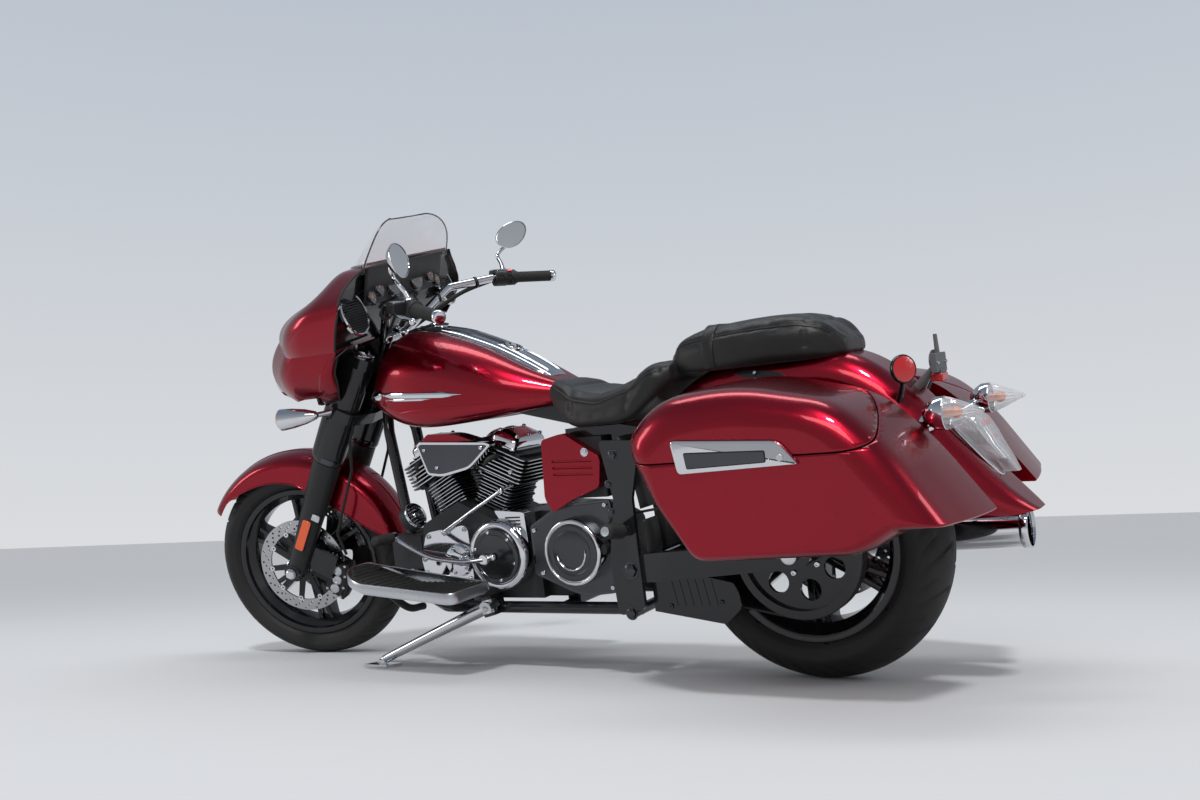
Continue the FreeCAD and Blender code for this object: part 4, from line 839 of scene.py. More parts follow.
def finned(label, angle):
    """One cylinder with its fins, rocker cover, bolts and plug; the front one stands for both CAD nodes."""
    at = bank(angle)
    fins_for, cover_for = (("cylinders",), ("rocker_covers",)) if label == "front" else ((), ())
    dark, bright = [level(pad(46, 50, 40), 163, 272), level(pad(70, 66, 24), 270, 352)], []
    for count, z0, z1, half_x, half_y, thick in ((10, 172, 270, 62, 68, 2.6), (7, 274, 352, 92, 86, 3.4)):
        pitch = (z1 - z0) / count
        for i in range(count):
            z = z0 + pitch * i
            shrink = 3 * (i % 2) if half_x < 70 else 0
            outline = pad(half_x - shrink, half_y - shrink, 22)
            dark.append(level(outline, z, z + thick))
            bright.append(rim_strip(outline, z + 0.3, z + thick - 0.3))
    for side in (1, -1):
        for x in (-56, 56):
            dark.append(moved(level(pad(11, 12, 10, 4), 264, 352), Matrix.Translation((x, side * 66, 0))))
    add("cylinder_" + label, dark, ENGINE_BLACK, at=at, bevel=0.5, replaces=fins_for)
    add("fin_edges_" + label, bright, SATIN, at=at)
    levels = [(46, 78, 352, 16), (47, 79, 353.5, 16), (47, 79, 358, 16), (43.5, 75.5, 359.5, 18),
              (43.5, 75.5, 374, 18), (42.5, 74.5, 378, 18), (39, 70, 384, 18), (34, 65, 389.5, 18),
              (30, 60, 392, 17), (22, 52, 393, 14)]
    rows = [[(x, y, z) for x, y in pad(half_x, half_y, bend)] for half_x, half_y, z, bend in levels]
    add("rocker_cover_" + label, loft(rows), CHROME, at=at, replaces=cover_for, sharp=50)
    bolts = [screw((x, y, 388), (0, 0, 1), 6.0, 7.5) for x in (-29, 29) for y in (-56, 0, 56)]
    bolts += [screw((x, side * 84, 300), (0, side, 0), 7.0, 7.0) for x in (-56, 56) for side in (1, -1)]
    add("rocker_bolts_" + label, bolts, CHROME, at=at)
    nut = turned([(0, 0), (0, 9), (6, 9), (7, 7), (7, 0)], 6)
    plug = [moved(nut, basis((0, 86, 326), (0, 1, 0))),
            tube([(0, 92, 326), (0, 108, 326), (4, 122, 318), (10, 124, 300)], [7, 8, 7, 4], 12, 5)]
    add("spark_plug_" + label, plug, RUBBER, at=at)


finned("front", BANK)
finned("rear", -BANK)

# Push rod tubes, lifter blocks and the intake on the right
tubes, cups = [], []
for angle, xs in ((BANK, (-26, 8)), (-BANK, (-8, 26))):
    frame_at = CRANK @ across_axle(angle)
    for x in xs:
        top = frame_at @ Vector((x, -94, 340))
        low = Vector((1007 + (angle / BANK) * 40 + x * 0.4, -134, 438))
        tubes.append(tube([low, low.lerp(top, 0.5), top], 8.5, 14, 1))
        for p, q in ((low, top), (top, low)):
            cups.append(tube([p, p.lerp(q, 0.09)], 12.5, 14, 1))
add("push_rod_tubes", tubes, CHROME)
cups.append(slab(rounded([(930, 424), (1084, 424), (1066, 452), (948, 452)], 8), -148, -120))
add("push_rod_cups", cups, SATIN, bevel=1.5)

cover = [turned([(-112, 60), (-112, 82), (-118, 84), (-118, 60)], closed=True),
         turned([(-166, 60), (-166, 84.5), (-172, 86), (-178, 84), (-184, 76), (-186, 60), (-186, 30),
                 (-184, 26), (-184, 0), (-166, 0)])]
add("air_cleaner_cover", shift(cover, 1007, 0, 588), CHROME, replaces=("air_cleaner",))
pleats = []
for y in (-117, -167):
    spots = [polar(79 + 2.6 * (k % 2), 360 * k / 120) for k in range(120)]
    pleats.append([(1007 + x, y, 588 + z) for x, z in spots])
add("air_filter", loft(pleats), RUBBER, sharp=20)
add("air_cleaner_bolt", screw((1007, -184, 588), (0, -1, 0), 15, 7), SATIN)
intake = [tube([(1007, -114, 590), (1007, -60, 606), (1007, 0, 622)], [40, 30, 26], 20, 6),
          tube([(936, 0, 622), (1007, 0, 622), (1078, 0, 622)], [25, 30, 25], 20, 4),
          tube([(1007, 106, 610), (1007, 40, 618), (1007, 0, 622)], [24, 28, 26], 20, 5)]
add("intake", intake, ENGINE_BLACK)

# Cover between the cylinders on the left: bright edge, dull face, red trim above
VALLEY = [(1127, 655), (1111, 664), (880, 648), (858, 640), (942, 578), (1040, 561), (1095, 568)]


def shrunk(outline, by):
    """Outline drawn in evenly towards its inside."""
    pts = [Vector(p) for p in outline]
    area = sum(a.x * b.y - b.x * a.y for a, b in zip(pts, pts[1:] + pts[:1]))
    out = []
    for i, p in enumerate(pts):
        a, b = (p - pts[i - 1]).normalized(), (pts[(i + 1) % len(pts)] - p).normalized()
        n = Vector((-(a.y + b.y), a.x + b.x)) * (1 if area > 0 else -1)
        n.normalize()
        half = math.acos(max(-1, min(1, a.dot(b)))) / 2
        out.append(tuple(p + n * by / max(cos(half), 0.3)))
    return out


add("valley_rim", slab(rounded(VALLEY, [6, 6, 6, 10, 20, 20, 12]), 104, 130), CHROME,
    replaces=("valley_cover",), bevel=3.0)
add("valley_face", slab(rounded(shrunk(VALLEY, 7), [5, 5, 5, 7, 18, 18, 9]), 128, 131.5), DARK_CHROME,
    bevel=1.0)
bolts = screws([(x, 131, z) for x, z in ((1096, 640), (892, 634), (1056, 588))], (0, 1, 0), 5.5, 5)
add("valley_bolts", bolts, CHROME)
trim = rounded([(1119, 664), (1098, 683), (1005, 679), (937, 656), (1000, 655)], [4, 10, 30, 4, 20])
add("valley_trim", slab(trim, 58, 112), RED, bevel=4.0)

# Left side covers of the crankcase
CLUTCH, DRUM = (850, 342), (592, 349)
r = 96
dome = [(0, r - 3), (4, r), (38, r), (45, r - 1), (51, r - 4), (55, r - 9), (56, r - 14), (55, r - 18),
        (52, r - 19), (52, 0)]
add("clutch_dome", shift(turned([(120 + y, q) for y, q in dome], 96), CLUTCH[0], 0, CLUTCH[1]), CHROME,
    replaces=("clutch_cover",))
disc = [(171, 76), (178, 75.5), (181, 73), (182, 69), (182, 62), (180.8, 61), (180.8, 58), (182.4, 57),
        (183.4, 30), (183.8, 0)]
add("clutch_disc", shift(turned(disc, 96), CLUTCH[0], 0, CLUTCH[1]), SMOKED)
bolts = screws([(x, 181.5, z) for x, z in circle(*CLUTCH, 66, 6, 18)], (0, 1, 0), 4.4, 3.4)
add("clutch_bolts", bolts, CHROME)
STATOR = [(1130, 255), (1145, 330), (1118, 405), (965, 425), (962, 262)]
RIGHT_COVER = [(1125, 250), (1140, 330), (1105, 430), (820, 440), (745, 380), (745, 290), (800, 240)]
left_spots = shrunk(STATOR, 12) + [(1132, 292), (1048, 402), (1046, 270)]
right_spots = shrunk(RIGHT_COVER, 13) + [(960, 424), (960, 258), (1121, 380)]
bolts = [screws([(x, 141.5, z) for x, z in left_spots], (0, 1, 0), 6.5, 6),
         screws([(x, 156.5, z) for x, z in circle(1004, 326, 36, 5)], (0, 1, 0), 3.6, 3.5),
         screws([(x, -145.5, z) for x, z in right_spots], (0, -1, 0), 6.5, 6)]
add("cover_bolts", bolts, SATIN)
cam_line = rounded([(850, 270), (1050, 270), (1090, 330), (1040, 400), (870, 405), (800, 335)],
                   [60, 60, 50, 60, 50, 40])
add("cam_cover_step", slab(cam_line, -152, -145), CHROME, bevel=3)
add("cam_cover_face", slab(shrunk(cam_line, 14), -153.5, -150), PLASTIC, bevel=1)

# Oil block between the two round covers, with a dark screen
BLOCK = [(862, 462), (761, 453), (758, 357), (804, 372)]
add("oil_block", slab(rounded(BLOCK, [10, 10, 14, 14]), 112, 148), CHROME, bevel=4)
screen = []
for z in range(384, 444, 9):
    front = 828 - (444 - z) * 0.55
    screen.append(block(776, front, 147, 149.2, z, z + 4.2))
add("oil_block_screen", screen, ENGINE_BLACK)

# Final drive cover: dull fan plate with a bright edge, round drum, sensor
FAN = [(745, 415), (640, 470), (484.2, 478), (488, 236), (600, 225), (745, 285)]
fan_line = rounded(FAN, [8, 40, 14, 20, 40, 8])
drum = [(148, 88), (184, 87), (189, 86), (192.5, 83), (193, 79.5), (192, 77.5), (190, 77), (190, 0)]
add("drive_fan_rim", slab(fan_line, 141, 149), DARK_CHROME, bevel=1.2)
add("drive_drum", shift(turned(drum, 96), DRUM[0], 0, DRUM[1]), CHROME, replaces=("pulley_cover",),
    sharp=50)
add("drive_fan_face", slab(rounded(shrunk(FAN, 7), [6, 36, 10, 16, 36, 6]), 148.5, 150.5), SMOKED,
    bevel=0.8)
disc = [(189, 75.5), (192, 75), (193.4, 73), (193.4, 58), (192.4, 56.5), (193, 55), (194, 30), (194.4, 0)]
add("drive_disc", shift(turned(disc, 72), DRUM[0], 0, DRUM[1]), SMOKED)
spots = [polar(44, a) for a in range(170, 356, 15)]
crescent = [(DRUM[0] + x, 194, DRUM[1] + z) for x, z in spots]
add("drive_crescent", tube(crescent, [1.5] + [5] * 11 + [1.5], 10, 3, flat=0.7), CHROME)
spots = ((730, 404), (500, 464), (503, 250), (716, 290))
bolts = screws([(x, 150, z) for x, z in spots], (0, 1, 0), 6.5, 6)
add("drive_bolts", bolts, CHROME)
sensor = [shift(turned([(150, 0), (150, 15), (172, 15), (175, 13), (175, 0)], 28), 507, 0, 352),
          tube([(507, 162, 366), (500, 164, 400), (478, 160, 430), (470, 140, 452)], 4, 10, 5)]
add("speed_sensor", sensor, SATIN_BLACK)

# Chrome link rod, horn face and regulator fins
link = [tube([(1043, 152, 408), (935, 156, 461), (827, 152, 514)], 5.5, 14, 1), ball((1043, 150, 408), 10),
        ball((827, 150, 514), 10), tube([(1043, 140, 408), (1043, 154, 408)], 7, 12, 1),
        tube([(827, 154, 514), (838, 84, 520)], 5, 12, 1)]
add("link_rod", link, CHROME)
horn_at = basis((1180, 108, 452), (-26, 0, 12))
horn = [turned([(-2, 38.5), (3, 39), (6, 37), (7, 33), (4, 31), (4, 0)], 56),
        turned([(3.5, 0), (3.5, 9), (7, 9), (8.5, 7), (8.5, 0)], 24)]
add("horn_ring", moved(horn, horn_at), CHROME)
ribs = [turned([(3.5, q), (3.5, q + 3), (5.6, q + 1.5)], 48, closed=True) for q in (12, 18, 24)]
add("horn_ribs", moved(ribs, horn_at), SATIN_BLACK)
fins = [block(1176, 1298, y, y + 3, 292, 394) for y in range(-92, 95, 13)]
add("regulator_fins", fins, ENGINE_BLACK, bevel=0.8)

# Side covers
COVER = [(655, 643), (586, 657), (480, 588), (492, 512), (590, 480), (641, 452), (664, 490)]
cover = slab(rounded(COVER, [12, 16, 14, 14, 30, 12, 12]), 150, 180)
slots = [slab(rounded([(505, z), (628, z + 4), (628, z + 9), (505, z + 5)], 2.4, 3), 175.5, 190)
         for z in (545, 562, 579)]
fixing = [shift(turned([(178, 0), (178, 12), (181.5, 11), (181.5, 0)], 32), 524, 0, 604),
          screw((524, 181, 604), (0, 1, 0), 7.5, 6)]
for side, label in SIDES:
    node = ("side_covers",) if side > 0 else ()
    shape = add("side_cover_" + label, handed(cover, side), RED, replaces=node, bevel=5.0)
    carve(shape, handed(slots, side))
    add("side_cover_bolt_" + label, handed(fixing, side), CHROME)


# Fork, brakes and front fender fittings, in the fork's own frame
LEG, LEG_Y = 36.4, 118


def legs_up(profile, count=40):
    """(z, r) profiles turned about both fork legs."""
    verts, faces = turned(profile, count)
    return pair(([(LEG + x, LEG_Y + z, y) for x, y, z in verts], faces))


seal = [(379, 29.2), (379, 31.5), (386, 32.5), (388, 38.5), (392, 39.2), (404, 39.2), (407, 36.4)]
cap = [(742, 36.2), (744, 37), (750, 37), (752, 35), (752, 22), (754, 20), (758, 19), (759, 0)]
add("fork_seals", legs_up(seal), DARK_CHROME, "steering", FORK)
add("fork_caps", legs_up(cap), CHROME, "steering", FORK)
stem_nut = turned([(0, 0), (0, 23), (10, 23), (13, 20), (13, 12), (9, 11), (9, 0)], 32)
clamp_bits = [moved(stem_nut, basis((0, 0, 746), (0, 0, 1))),
              pair(screws([(LEG + 36, 76, z) for z in (552, 728)], (0.6, -0.4, 0), 6, 6))]
add("clamp_bolts", clamp_bits, CHROME, "steering", FORK)
fittings = [hexnut((LEG, 155, 0), (0, 1, 0), 15, 10),
            screws([(LEG + 27, 132, z) for z in (-10, 14)], (1, 0, 0), 5.5, 5),
            screws([(LEG + 31, 100, z) for z in (236, 256)], (0, 1, 0), 6.5, 6)]
add("fork_bolts", pair(fittings), CHROME, "steering", FORK)
case = plate(LEG - 16, LEG + 16, 84, 192, 8, 144, 152)
lens = plate(LEG - 14, LEG + 14, 87, 189, 7, 151, 155)
bracket = plate(LEG - 34, LEG + 6, 196, 216, 5, 144, 149)
add("fork_reflector_cases", pair(case), SATIN_BLACK, "steering", FORK, bevel=1)
add("fork_reflectors", pair(lens), ORANGE, "steering", FORK, bevel=1.2)
add("hose_brackets", pair(bracket), SATIN, "steering", FORK, bevel=1)

WHEEL = FORK @ Matrix.Translation((LEG, 0, 0))
body = []
for y0, y1, r0, r1 in ((84, 102, 101, 168), (55, 72, 101, 168), (55, 102, 154, 171)):
    body.append(turned(box_line(y0, y1, r0, r1, 4, 3), 14, 150, 42, closed=True))
add("caliper_bodies", pair(body), ENGINE_BLACK, "steering", WHEEL, replaces=("front_calipers",), bevel=0.8)
caps = []
for x, z in [polar(132, a) for a in (158, 171, 184)]:
    cup = turned([(0, 0), (0, 15.5), (4, 15), (6, 12), (6, 7), (4.6, 6), (4.6, 0)], 32)
    caps.append(shift(cup, x, 101.5, z))
spots = [polar(q, a) for a, q in ((152, 160), (190, 160), (164, 158), (178, 158), (152, 110), (190, 110))]
add("caliper_pistons", pair(caps), SATIN, "steering", WHEEL)
bolts = screws([(x, 102, z) for x, z in spots], (0, 1, 0), 4.8, 5)
add("caliper_bolts", pair(bolts), CHROME, "steering", WHEEL)

# Front fender: centre rib
RIB = ((-7, -1), (-5, 0.9), (-2, 1.6), (2, 1.6), (5, 0.9), (7, -1))
rows = []
for i in range(45):
    c, s = polar(1, 37 + 133 * i / 44)
    rows.append([((358.2 + h) * c, y, (358.2 + h) * s) for y, h in RIB])
add("front_fender_rib", skin(rows), RED, "steering", FRONT)

# Headlamp: bezel, bowl and lens
LAMP = STEERED @ basis((1650, 0, 922), (1, 0, 0))
bezel = [(-40, 72), (-6, 74.5), (4, 76.5), (10, 76), (13, 73), (12, 69), (6, 66.5), (0, 66)]
add("headlamp_bezel", turned(bezel, 72), CHROME, "steering", LAMP, replaces=("headlamp",))
bowl = [(2, 66), (-12, 61), (-30, 46), (-38, 26), (-40, 0)]
add("headlamp_bowl", turned(bowl, 48), SILVER, "steering", LAMP)
add("headlamp_lens", turned([(3, 67), (8, 62), (15, 46), (19, 24), (20, 0)], 64), LENS, "steering", LAMP)
projector = turned([(-24, 22), (-6, 24), (-2, 21), (4, 12), (6, 0)], 32)
add("headlamp_projectors", [shift(projector, 0, 0, z) for z in (27, -27)], DARK_CHROME, "steering", LAMP)

# Fine seal round the edge of each wing
WING_EDGE = [(1263, 384, 1001), (1239, 409, 1040), (1216, 423, 1085), (1205, 403, 1138), (1189, 349, 1180),
             (1168, 296, 1203)]
add("fairing_edge_seals", pair(tube(WING_EDGE, 3.4, 8)), RUBBER, "steering")

# Windshield: one bowed sheet with a dark edge, held by a row of screws
BOWS = [(1190, 1322, 1180, 292), (1222, 1294, 1166, 284), (1255, 1262, 1151, 268), (1285, 1234, 1142, 240),
        (1306, 1212, 1140, 205), (1319, 1197, 1141, 165), (1325, 1189, 1144, 124)]


def bow(z, front, side_x, half, count=32):
    """Arc through both sides and the front of one level of the windshield."""
    d = front - side_x
    radius = (half * half + d * d) / (2 * d)
    reach = math.asin(min(1.0, half / radius)) if d < half else pi - math.asin(half / radius)
    centre = front - radius
    angles = [reach * (2 * i / count - 1) for i in range(count + 1)]
    return [(centre + radius * cos(a), radius * sin(a), z) for a in angles]


rows = [bow(*b) for b in BOWS]
add("windshield_sheet", skin(rows), CLEAR, "steering", replaces=("windshield",), solid=4.5)
outline = [row[0] for row in rows] + rows[-1][1:-1] + [row[-1] for row in reversed(rows)]
add("windshield_edge", tube(outline, 2.2, 8, 2), SMOKE, "steering")
base = bow(1202, 1312, 1175, 292, 40)
strip = [[(x + dx, y, z + dz) for x, y, z in base] for dx, dz in ((2, -12), (4, -10), (4, 8), (2, 10))]
add("windshield_base", skin(strip), GLOSS_BLACK, "steering", solid=3)
heads = []
for i in (5, 12, 20, 28, 35):
    x, y, z = base[i]
    n = Vector((x - 1060, y, 0)).normalized()
    heads.append(screw(Vector((x, y, z - 1)) + n * 3.5, n + Vector((0, 0, 0.35)), 5.5, 4))
add("windshield_screws", heads, CHROME, "steering")


# Dash: dials, screen, switches and speakers on the fairing's inner panel
def tick(inner, outer, w, angle, y):
    """Flat mark on a dial between two radii, w to each side of its middle line."""
    c, s = cos(angle), sin(angle)
    return [(inner * c - w * s, y, inner * s + w * c), (outer * c - w * s, y, outer * s + w * c),
            (outer * c + w * s, y, outer * s - w * c),
            (inner * c + w * s, y, inner * s - w * c)], [(0, 1, 2, 3)]


def dial(y, z, r, x, needle):
    at = basis((x + 12, y, z), (-1, 0, 0.18))
    rim = turned([(-6, r - 2), (-6, r + 3), (3, r + 3.5), (6, r + 1), (5, r - 2), (1, r - 3)], 56)
    face = turned([(0.5, r - 2), (0.5, 0)], 56)
    ticks = []
    for k in range(25):
        long, wide = (0.20, 0.9) if k % 4 == 0 else (0.11, 0.5)
        ticks.append(tick(r * (0.88 - long), r * 0.88, wide, radians(-40 + 260 * k / 24), 1.2))
    c, s = polar(1, needle)
    hand = ([(-6 * c - 1.6 * s, 2.4, -6 * s + 1.6 * c), (r * 0.76 * c, 2.4, r * 0.76 * s),
             (-6 * c + 1.6 * s, 2.4, -6 * s - 1.6 * c)], [(0, 1, 2)])
    cap = turned([(1, 5), (4, 5), (5, 3), (5, 0)], 20)
    glass = turned([(3.5, r - 1), (4.5, r * 0.6), (5, 0)], 40)
    return [moved(part, at) for part in (rim, face, merge(*ticks), merge(hand, cap), glass)]


rims, faces, marks, hands, glasses = [], [], [], [], []
for y, z, r, x, needle in ((78, 1156, 50, 1192, 210), (-78, 1156, 50, 1192, 235),
                           (176, 1146, 27, 1188, 160), (-176, 1146, 27, 1188, 120),
                           (226, 1122, 22, 1190, 140), (-226, 1122, 22, 1190, 200)):
    for group, part in zip((rims, faces, marks, hands, glasses), dial(y, z, r, x, needle)):
        group.append(part)
add("dial_rims", rims, GLOSS_BLACK, "steering")
add("dial_faces", faces, SATIN_BLACK, "steering")
add("dial_marks", marks, WHITE, "steering")
add("dial_hands", hands, ORANGE, "steering")
add("dial_glass", glasses, CLEAR, "steering")
HOOD = 524
hood = []
for i in range(33):
    y = HOOD * (i / 32 - 0.5)
    bulge = cos(pi * y / HOOD)
    rise, back = 10 * bulge, 1180 - 12 * bulge
    hood.append([(1222, y, 1196 + rise), (back + 14, y, 1204 + rise), (back, y, 1200 + rise),
                 (back + 4, y, 1192 + rise), (1212, y, 1100)])
add("dash_hood", skin(hood), PLASTIC, "steering", solid=4)
at = basis((1216, 0, 1078), (-1, 0, 0.3))
screen = moved(plate(-68, 68, -28, 34, 6, 0, 12), at)
glass = moved(plate(-52, 52, -18, 28, 3, 12, 12.8), at)
add("dash_screen_frame", screen, PLASTIC, "steering", bevel=2)
add("dash_screen", glass, GLOSS_BLACK, "steering")
keys = [plate(x - 6, x + 6, -26, -20, 1.5, 12, 15, 2) for x in range(-45, 46, 18)]
keys += [plate(x - 5, x + 5, z, z + 10, 2, 12, 15, 2) for x in (60, -60) for z in (-12, 4, 20)]
add("dash_keys", moved(keys, at), SATIN_BLACK, "steering", bevel=0.6)
at = basis((1222, 318, 1088), (-1, 0.05, 0.2))
bars = []
for z in range(-49, 50, 7):
    reach = math.sqrt(57 ** 2 - z ** 2) * 56 / 57
    bars.append(block(-reach, reach, 7, 9, z - 1.3, z + 1.3))
ring = turned([(0, 62), (8, 63), (11, 60), (10, 56), (4, 55)], 56)
cone = turned([(5, 56), (-4, 30), (0, 18), (3, 0)], 48)
add("speaker_rings", pair(moved(ring, at)), CHROME, "steering")
add("speaker_cones", pair(moved(cone, at)), RUBBER, "steering")
add("speaker_grilles", pair(moved(bars, at)), SATIN_BLACK, "steering")

# Bullet signals ahead of the fork covers
at = basis((1460, 215, 812), (1, 0, 0))
shell = turned([(0, 0), (0, 6), (6, 12), (40, 22), (80, 29), (112, 31.8), (120, 32), (122, 30),
                (120, 28.5)], 48)
lens = turned([(118, 29), (126, 26), (130, 18), (132, 9), (132, 0)], 40)
stalk = tube([(1425, 130, 806), (1470, 168, 806), (1510, 200, 808)], [11, 8, 8], 14, 6)
add("front_signal_shells", pair(moved(shell, at)), CHROME, "steering", replaces=("front_signals",))
add("front_signal_lenses", pair(moved(lens, at)), AMBER, "steering")
add("front_signal_stalks", pair(stalk), CHROME, "steering")

# Bar, grips, switch housings, levers and mirrors
BEND, END = Vector((1058, 338, 1088)), Vector((905, 472, 1056))
ALONG = (END - BEND).normalized()
FORE = Vector((ALONG.y, -ALONG.x, 0)).normalized()
LONG = (END - BEND).length


def on_bar(distance):
    return BEND + ALONG * distance


grip = [(0, 12.7), (0, 19), (3, 20), (6, 19), (8, 16.6)]
for k in range(15):
    y = 9 + k * 7.4
    grip += [(y, 16.4), (y + 1.2, 17.4), (y + 4.6, 17.4), (y + 5.8, 16.4)]
grip += [(122, 16.4), (122, 12.7)]
cap = [(120, 12), (120, 18), (124, 18.6), (134, 18.6), (138, 16), (139, 8), (139, 0)]
house = [(14, 13), (14, 22), (17, 25), (44, 25.5), (46, 24), (47, 24), (49, 25.5), (76, 25), (79, 22),
         (79, 13)]
at = basis(on_bar(LONG - 126), ALONG)
add("grip_rubbers", pair(moved(turned(grip, 36), at)), RUBBER, "steering", replaces=("grips",), sharp=30)
add("grip_ends", pair(moved(turned(cap, 36), at)), CHROME, "steering")
at = basis(on_bar(0), ALONG)
add("switch_housings", pair(moved(turned(house, 40), at)), PLASTIC, "steering", replaces=("control_pods",))
up, toward = Vector((0, 0, 1)), -FORE
buttons = []
for d, lift, w in ((26, 10, 7), (38, 2, 6), (52, 10, 8), (66, 0, 6), (60, -12, 5)):
    m = basis(on_bar(d) + up * lift + toward * math.sqrt(max(24.5 ** 2 - lift * lift, 0)),
              toward + up * lift / 24)
    buttons.append(moved(plate(-w, w, -5, 5, 2, -4, 5, 3), m))
m = basis(on_bar(58) + up * 20 + toward * 14, toward * 0.6 + up)
red_key = flip(moved(plate(-8, 8, -6, 6, 2, -4, 6, 3), m))
add("switch_buttons", pair(buttons), SATIN_BLACK, "steering", bevel=1)
add("stop_switch", red_key, RED_LENS, "steering", bevel=1)
m = basis(on_bar(34) + FORE * 34 + up * 8, ALONG)
pots = [moved(plate(-20, 20, -16, 16, 6, -24, 26), m),
        moved(turned([(-22, 27), (-22, 16), (18, 16), (18, 27)], 32, closed=True),
              basis(on_bar(28), ALONG))]
pot_lid = moved(plate(-17, 17, 15, 19, 1.5, -21, 23, 3), m)
perch = on_bar(34) + FORE * 44
path = [perch, perch + ALONG * 22 + FORE * 8, on_bar(96) + FORE * 60, on_bar(150) + FORE * 60,
        on_bar(LONG - 10) + FORE * 66]
levers = [tube(path, [9, 8, 7, 7.5, 8], 14, 8, flat=0.62), ball(path[-1], 9.5)]
add("lever_perches", pair(pots), SATIN_BLACK, "steering", bevel=2)
add("reservoir_lids", pair(pot_lid), CHROME, "steering", bevel=1)
add("hand_levers", pair(levers), CHROME, "steering")


def mirror_oval(part, wide, high, turn):
    """Turned part squeezed across its axis and leaning its top inward."""
    spin = across_axle(turn)
    verts, faces = part
    return [tuple(spin @ Vector((x * wide * (1 + 0.0022 * z), y, z * high))) for x, y, z in verts], faces


shell = [(-26, 0), (-26, 12), (-22, 26), (-14, 40), (-4, 49), (0, 51), (1.5, 51.5), (2.5, 50), (2.5, 48)]
shells, backs, glasses, stems = [], [], [], []
foot = on_bar(42)
for side, turn_in, wide, high in ((1, -0.05, 1.12, 0.88), (-1, 0.50, 1.42, 0.76)):
    facing = Vector((-1, turn_in, 0.05)).normalized()
    centre = Vector((998, side * 429, 1211))
    at, lean = basis(centre, facing), -12 * side
    shells.append(moved(mirror_oval(turned(shell, 64), wide, high, lean), at))
    cover = turned([(-27, 0), (-27, 11), (-23, 25), (-17, 36)], 48)
    backs.append(moved(mirror_oval(cover, wide, high, lean), at))
    glasses.append(moved(mirror_oval(turned([(1.2, 48.5), (1.6, 30), (1.8, 0)], 48), wide, high, lean), at))
    back = centre - facing * 22
    base = Vector((foot.x, side * foot.y, foot.z))
    stem = [base + Vector((0, 0, 24)), base + Vector((4, side * 6, 46)), base + Vector((14, side * 18, 76)),
            back + Vector((6, side * 2, -26)), back]
    stems.append(tube(stem, [8, 6.5, 6, 6, 8], 14, 8))
    nut = turned([(0, 0), (0, 13), (8, 12), (12, 8), (12, 0)], 6)
    stems.append(moved(nut, basis(base + Vector((0, 0, 18)), (0, 0, 1))))
add("mirror_shells", shells, CHROME, "steering", replaces=("mirrors",))
add("mirror_backs", backs, GLOSS_BLACK, "steering")
add("mirror_glass", glasses, MIRROR, "steering")
add("mirror_stems", stems, CHROME, "steering")

cables = []
for k, (d, drop) in enumerate(((16, 26), (30, 30))):
    start = on_bar(d) + FORE * (14 + 6 * k)
    route = [start, start - ALONG * 26 + FORE * 18 + Vector((0, 0, -drop * 0.4)),
             (1128 + 8 * k, 244, 1068 - 8 * k), (1200 + 6 * k, 150, 1028 - 10 * k), (1262, 92, 985)]
    cables.append(tube(route, 4.0, 10, 8))
add("bar_cables", pair(cables), RUBBER, "steering")
tie = turned([(-3, 18), (3, 18), (3, 14), (-3, 14)], 20, closed=True)
ties = [moved(tie, basis(at, (-0.6, 0.6, 0.1))) for at in ((1098, 292, 1086), (1190, 188, 1066))]
add("cable_ties", pair(ties), SATIN_BLACK, "steering")
riser = moved(turned([(0, 17), (4, 18), (14, 18), (18, 15), (18, 0)], 28), basis((4, 46, 792), (0, 0, 1)))
add("riser_caps", pair(riser), CHROME, "steering", FORK)


# Fork covers: oval tubes that run down smoothly to the axle
def oval_tube(levels):
    """Ovals round a fork leg at some heights, each with its two radii and its push ahead."""
    rows = []
    for z, a, b, push in levels:
        rows.append([(LEG + push * 10 + a * x, LEG_Y + b * y, z) for x, y in circle(0, 0, 1, 48)])
    return pair(loft(rows))


LOWER = [(-31, 12, 14, 0), (-29, 19, 22, 0), (-22, 25, 28, 0), (-8, 28.5, 30.4, 0), (20, 30.5, 31, 0),
         (80, 32.5, 31.4, 0.1), (140, 35, 32, 0.2), (200, 38, 32.6, 0.35), (260, 41.5, 33.2, 0.5),
         (330, 43.5, 34, 0.6), (382, 44.5, 34.6, 0.7)]
UPPER = [(384, 44, 34.8, 0.7), (386, 48, 36.6, 0.8), (392, 51.5, 37, 0.9), (404, 52.5, 37, 1),
         (480, 53.5, 37, 1), (640, 53.5, 37, 1), (728, 52, 37, 1), (739, 49, 36.8, 1), (742, 45, 34, 1)]
add("fork_lower_covers", oval_tube(smooth_rows(LOWER, 4)), SATIN_BLACK, "steering", FORK,
    sharp=60)
add("fork_upper_covers", oval_tube(UPPER), GLOSS_BLACK, "steering", FORK, sharp=50)

# Front fender: one smooth shell with a sweeping lower edge and a rolled rim
SKIRT = [(37, 331), (50, 313), (62, 297), (75, 285), (90, 272), (100, 261), (108, 246), (116, 236),
         (126, 234), (140, 242), (155, 264), (165, 300), (171, 334)]
rows, rim = [], []
for a, q in smooth_rows(SKIRT, 6):
    c, s = polar(1, a)
    half = 82 - 3.0 * max(0.0, (48 - a) / 11, (a - 160) / 11)
    low = min(q, 318)
    section = [(half, low + (320 - low) * t) for t in (0, 0.02, 0.3, 0.7)]
    section += [(half * x, 320 + 38 * y) for x, y in [polar(1, 180 * k / 22) for k in range(23)]]
    section += [(-y, r) for y, r in reversed(section[:4])]
    rows.append([(r * c, y, r * s) for y, r in section])
    rim.append((low * c, half + 0.2, low * s))
add("front_fender_skin", skin(rows), RED, "steering", FRONT, replaces=("front_fender",), solid=3, sharp=50)
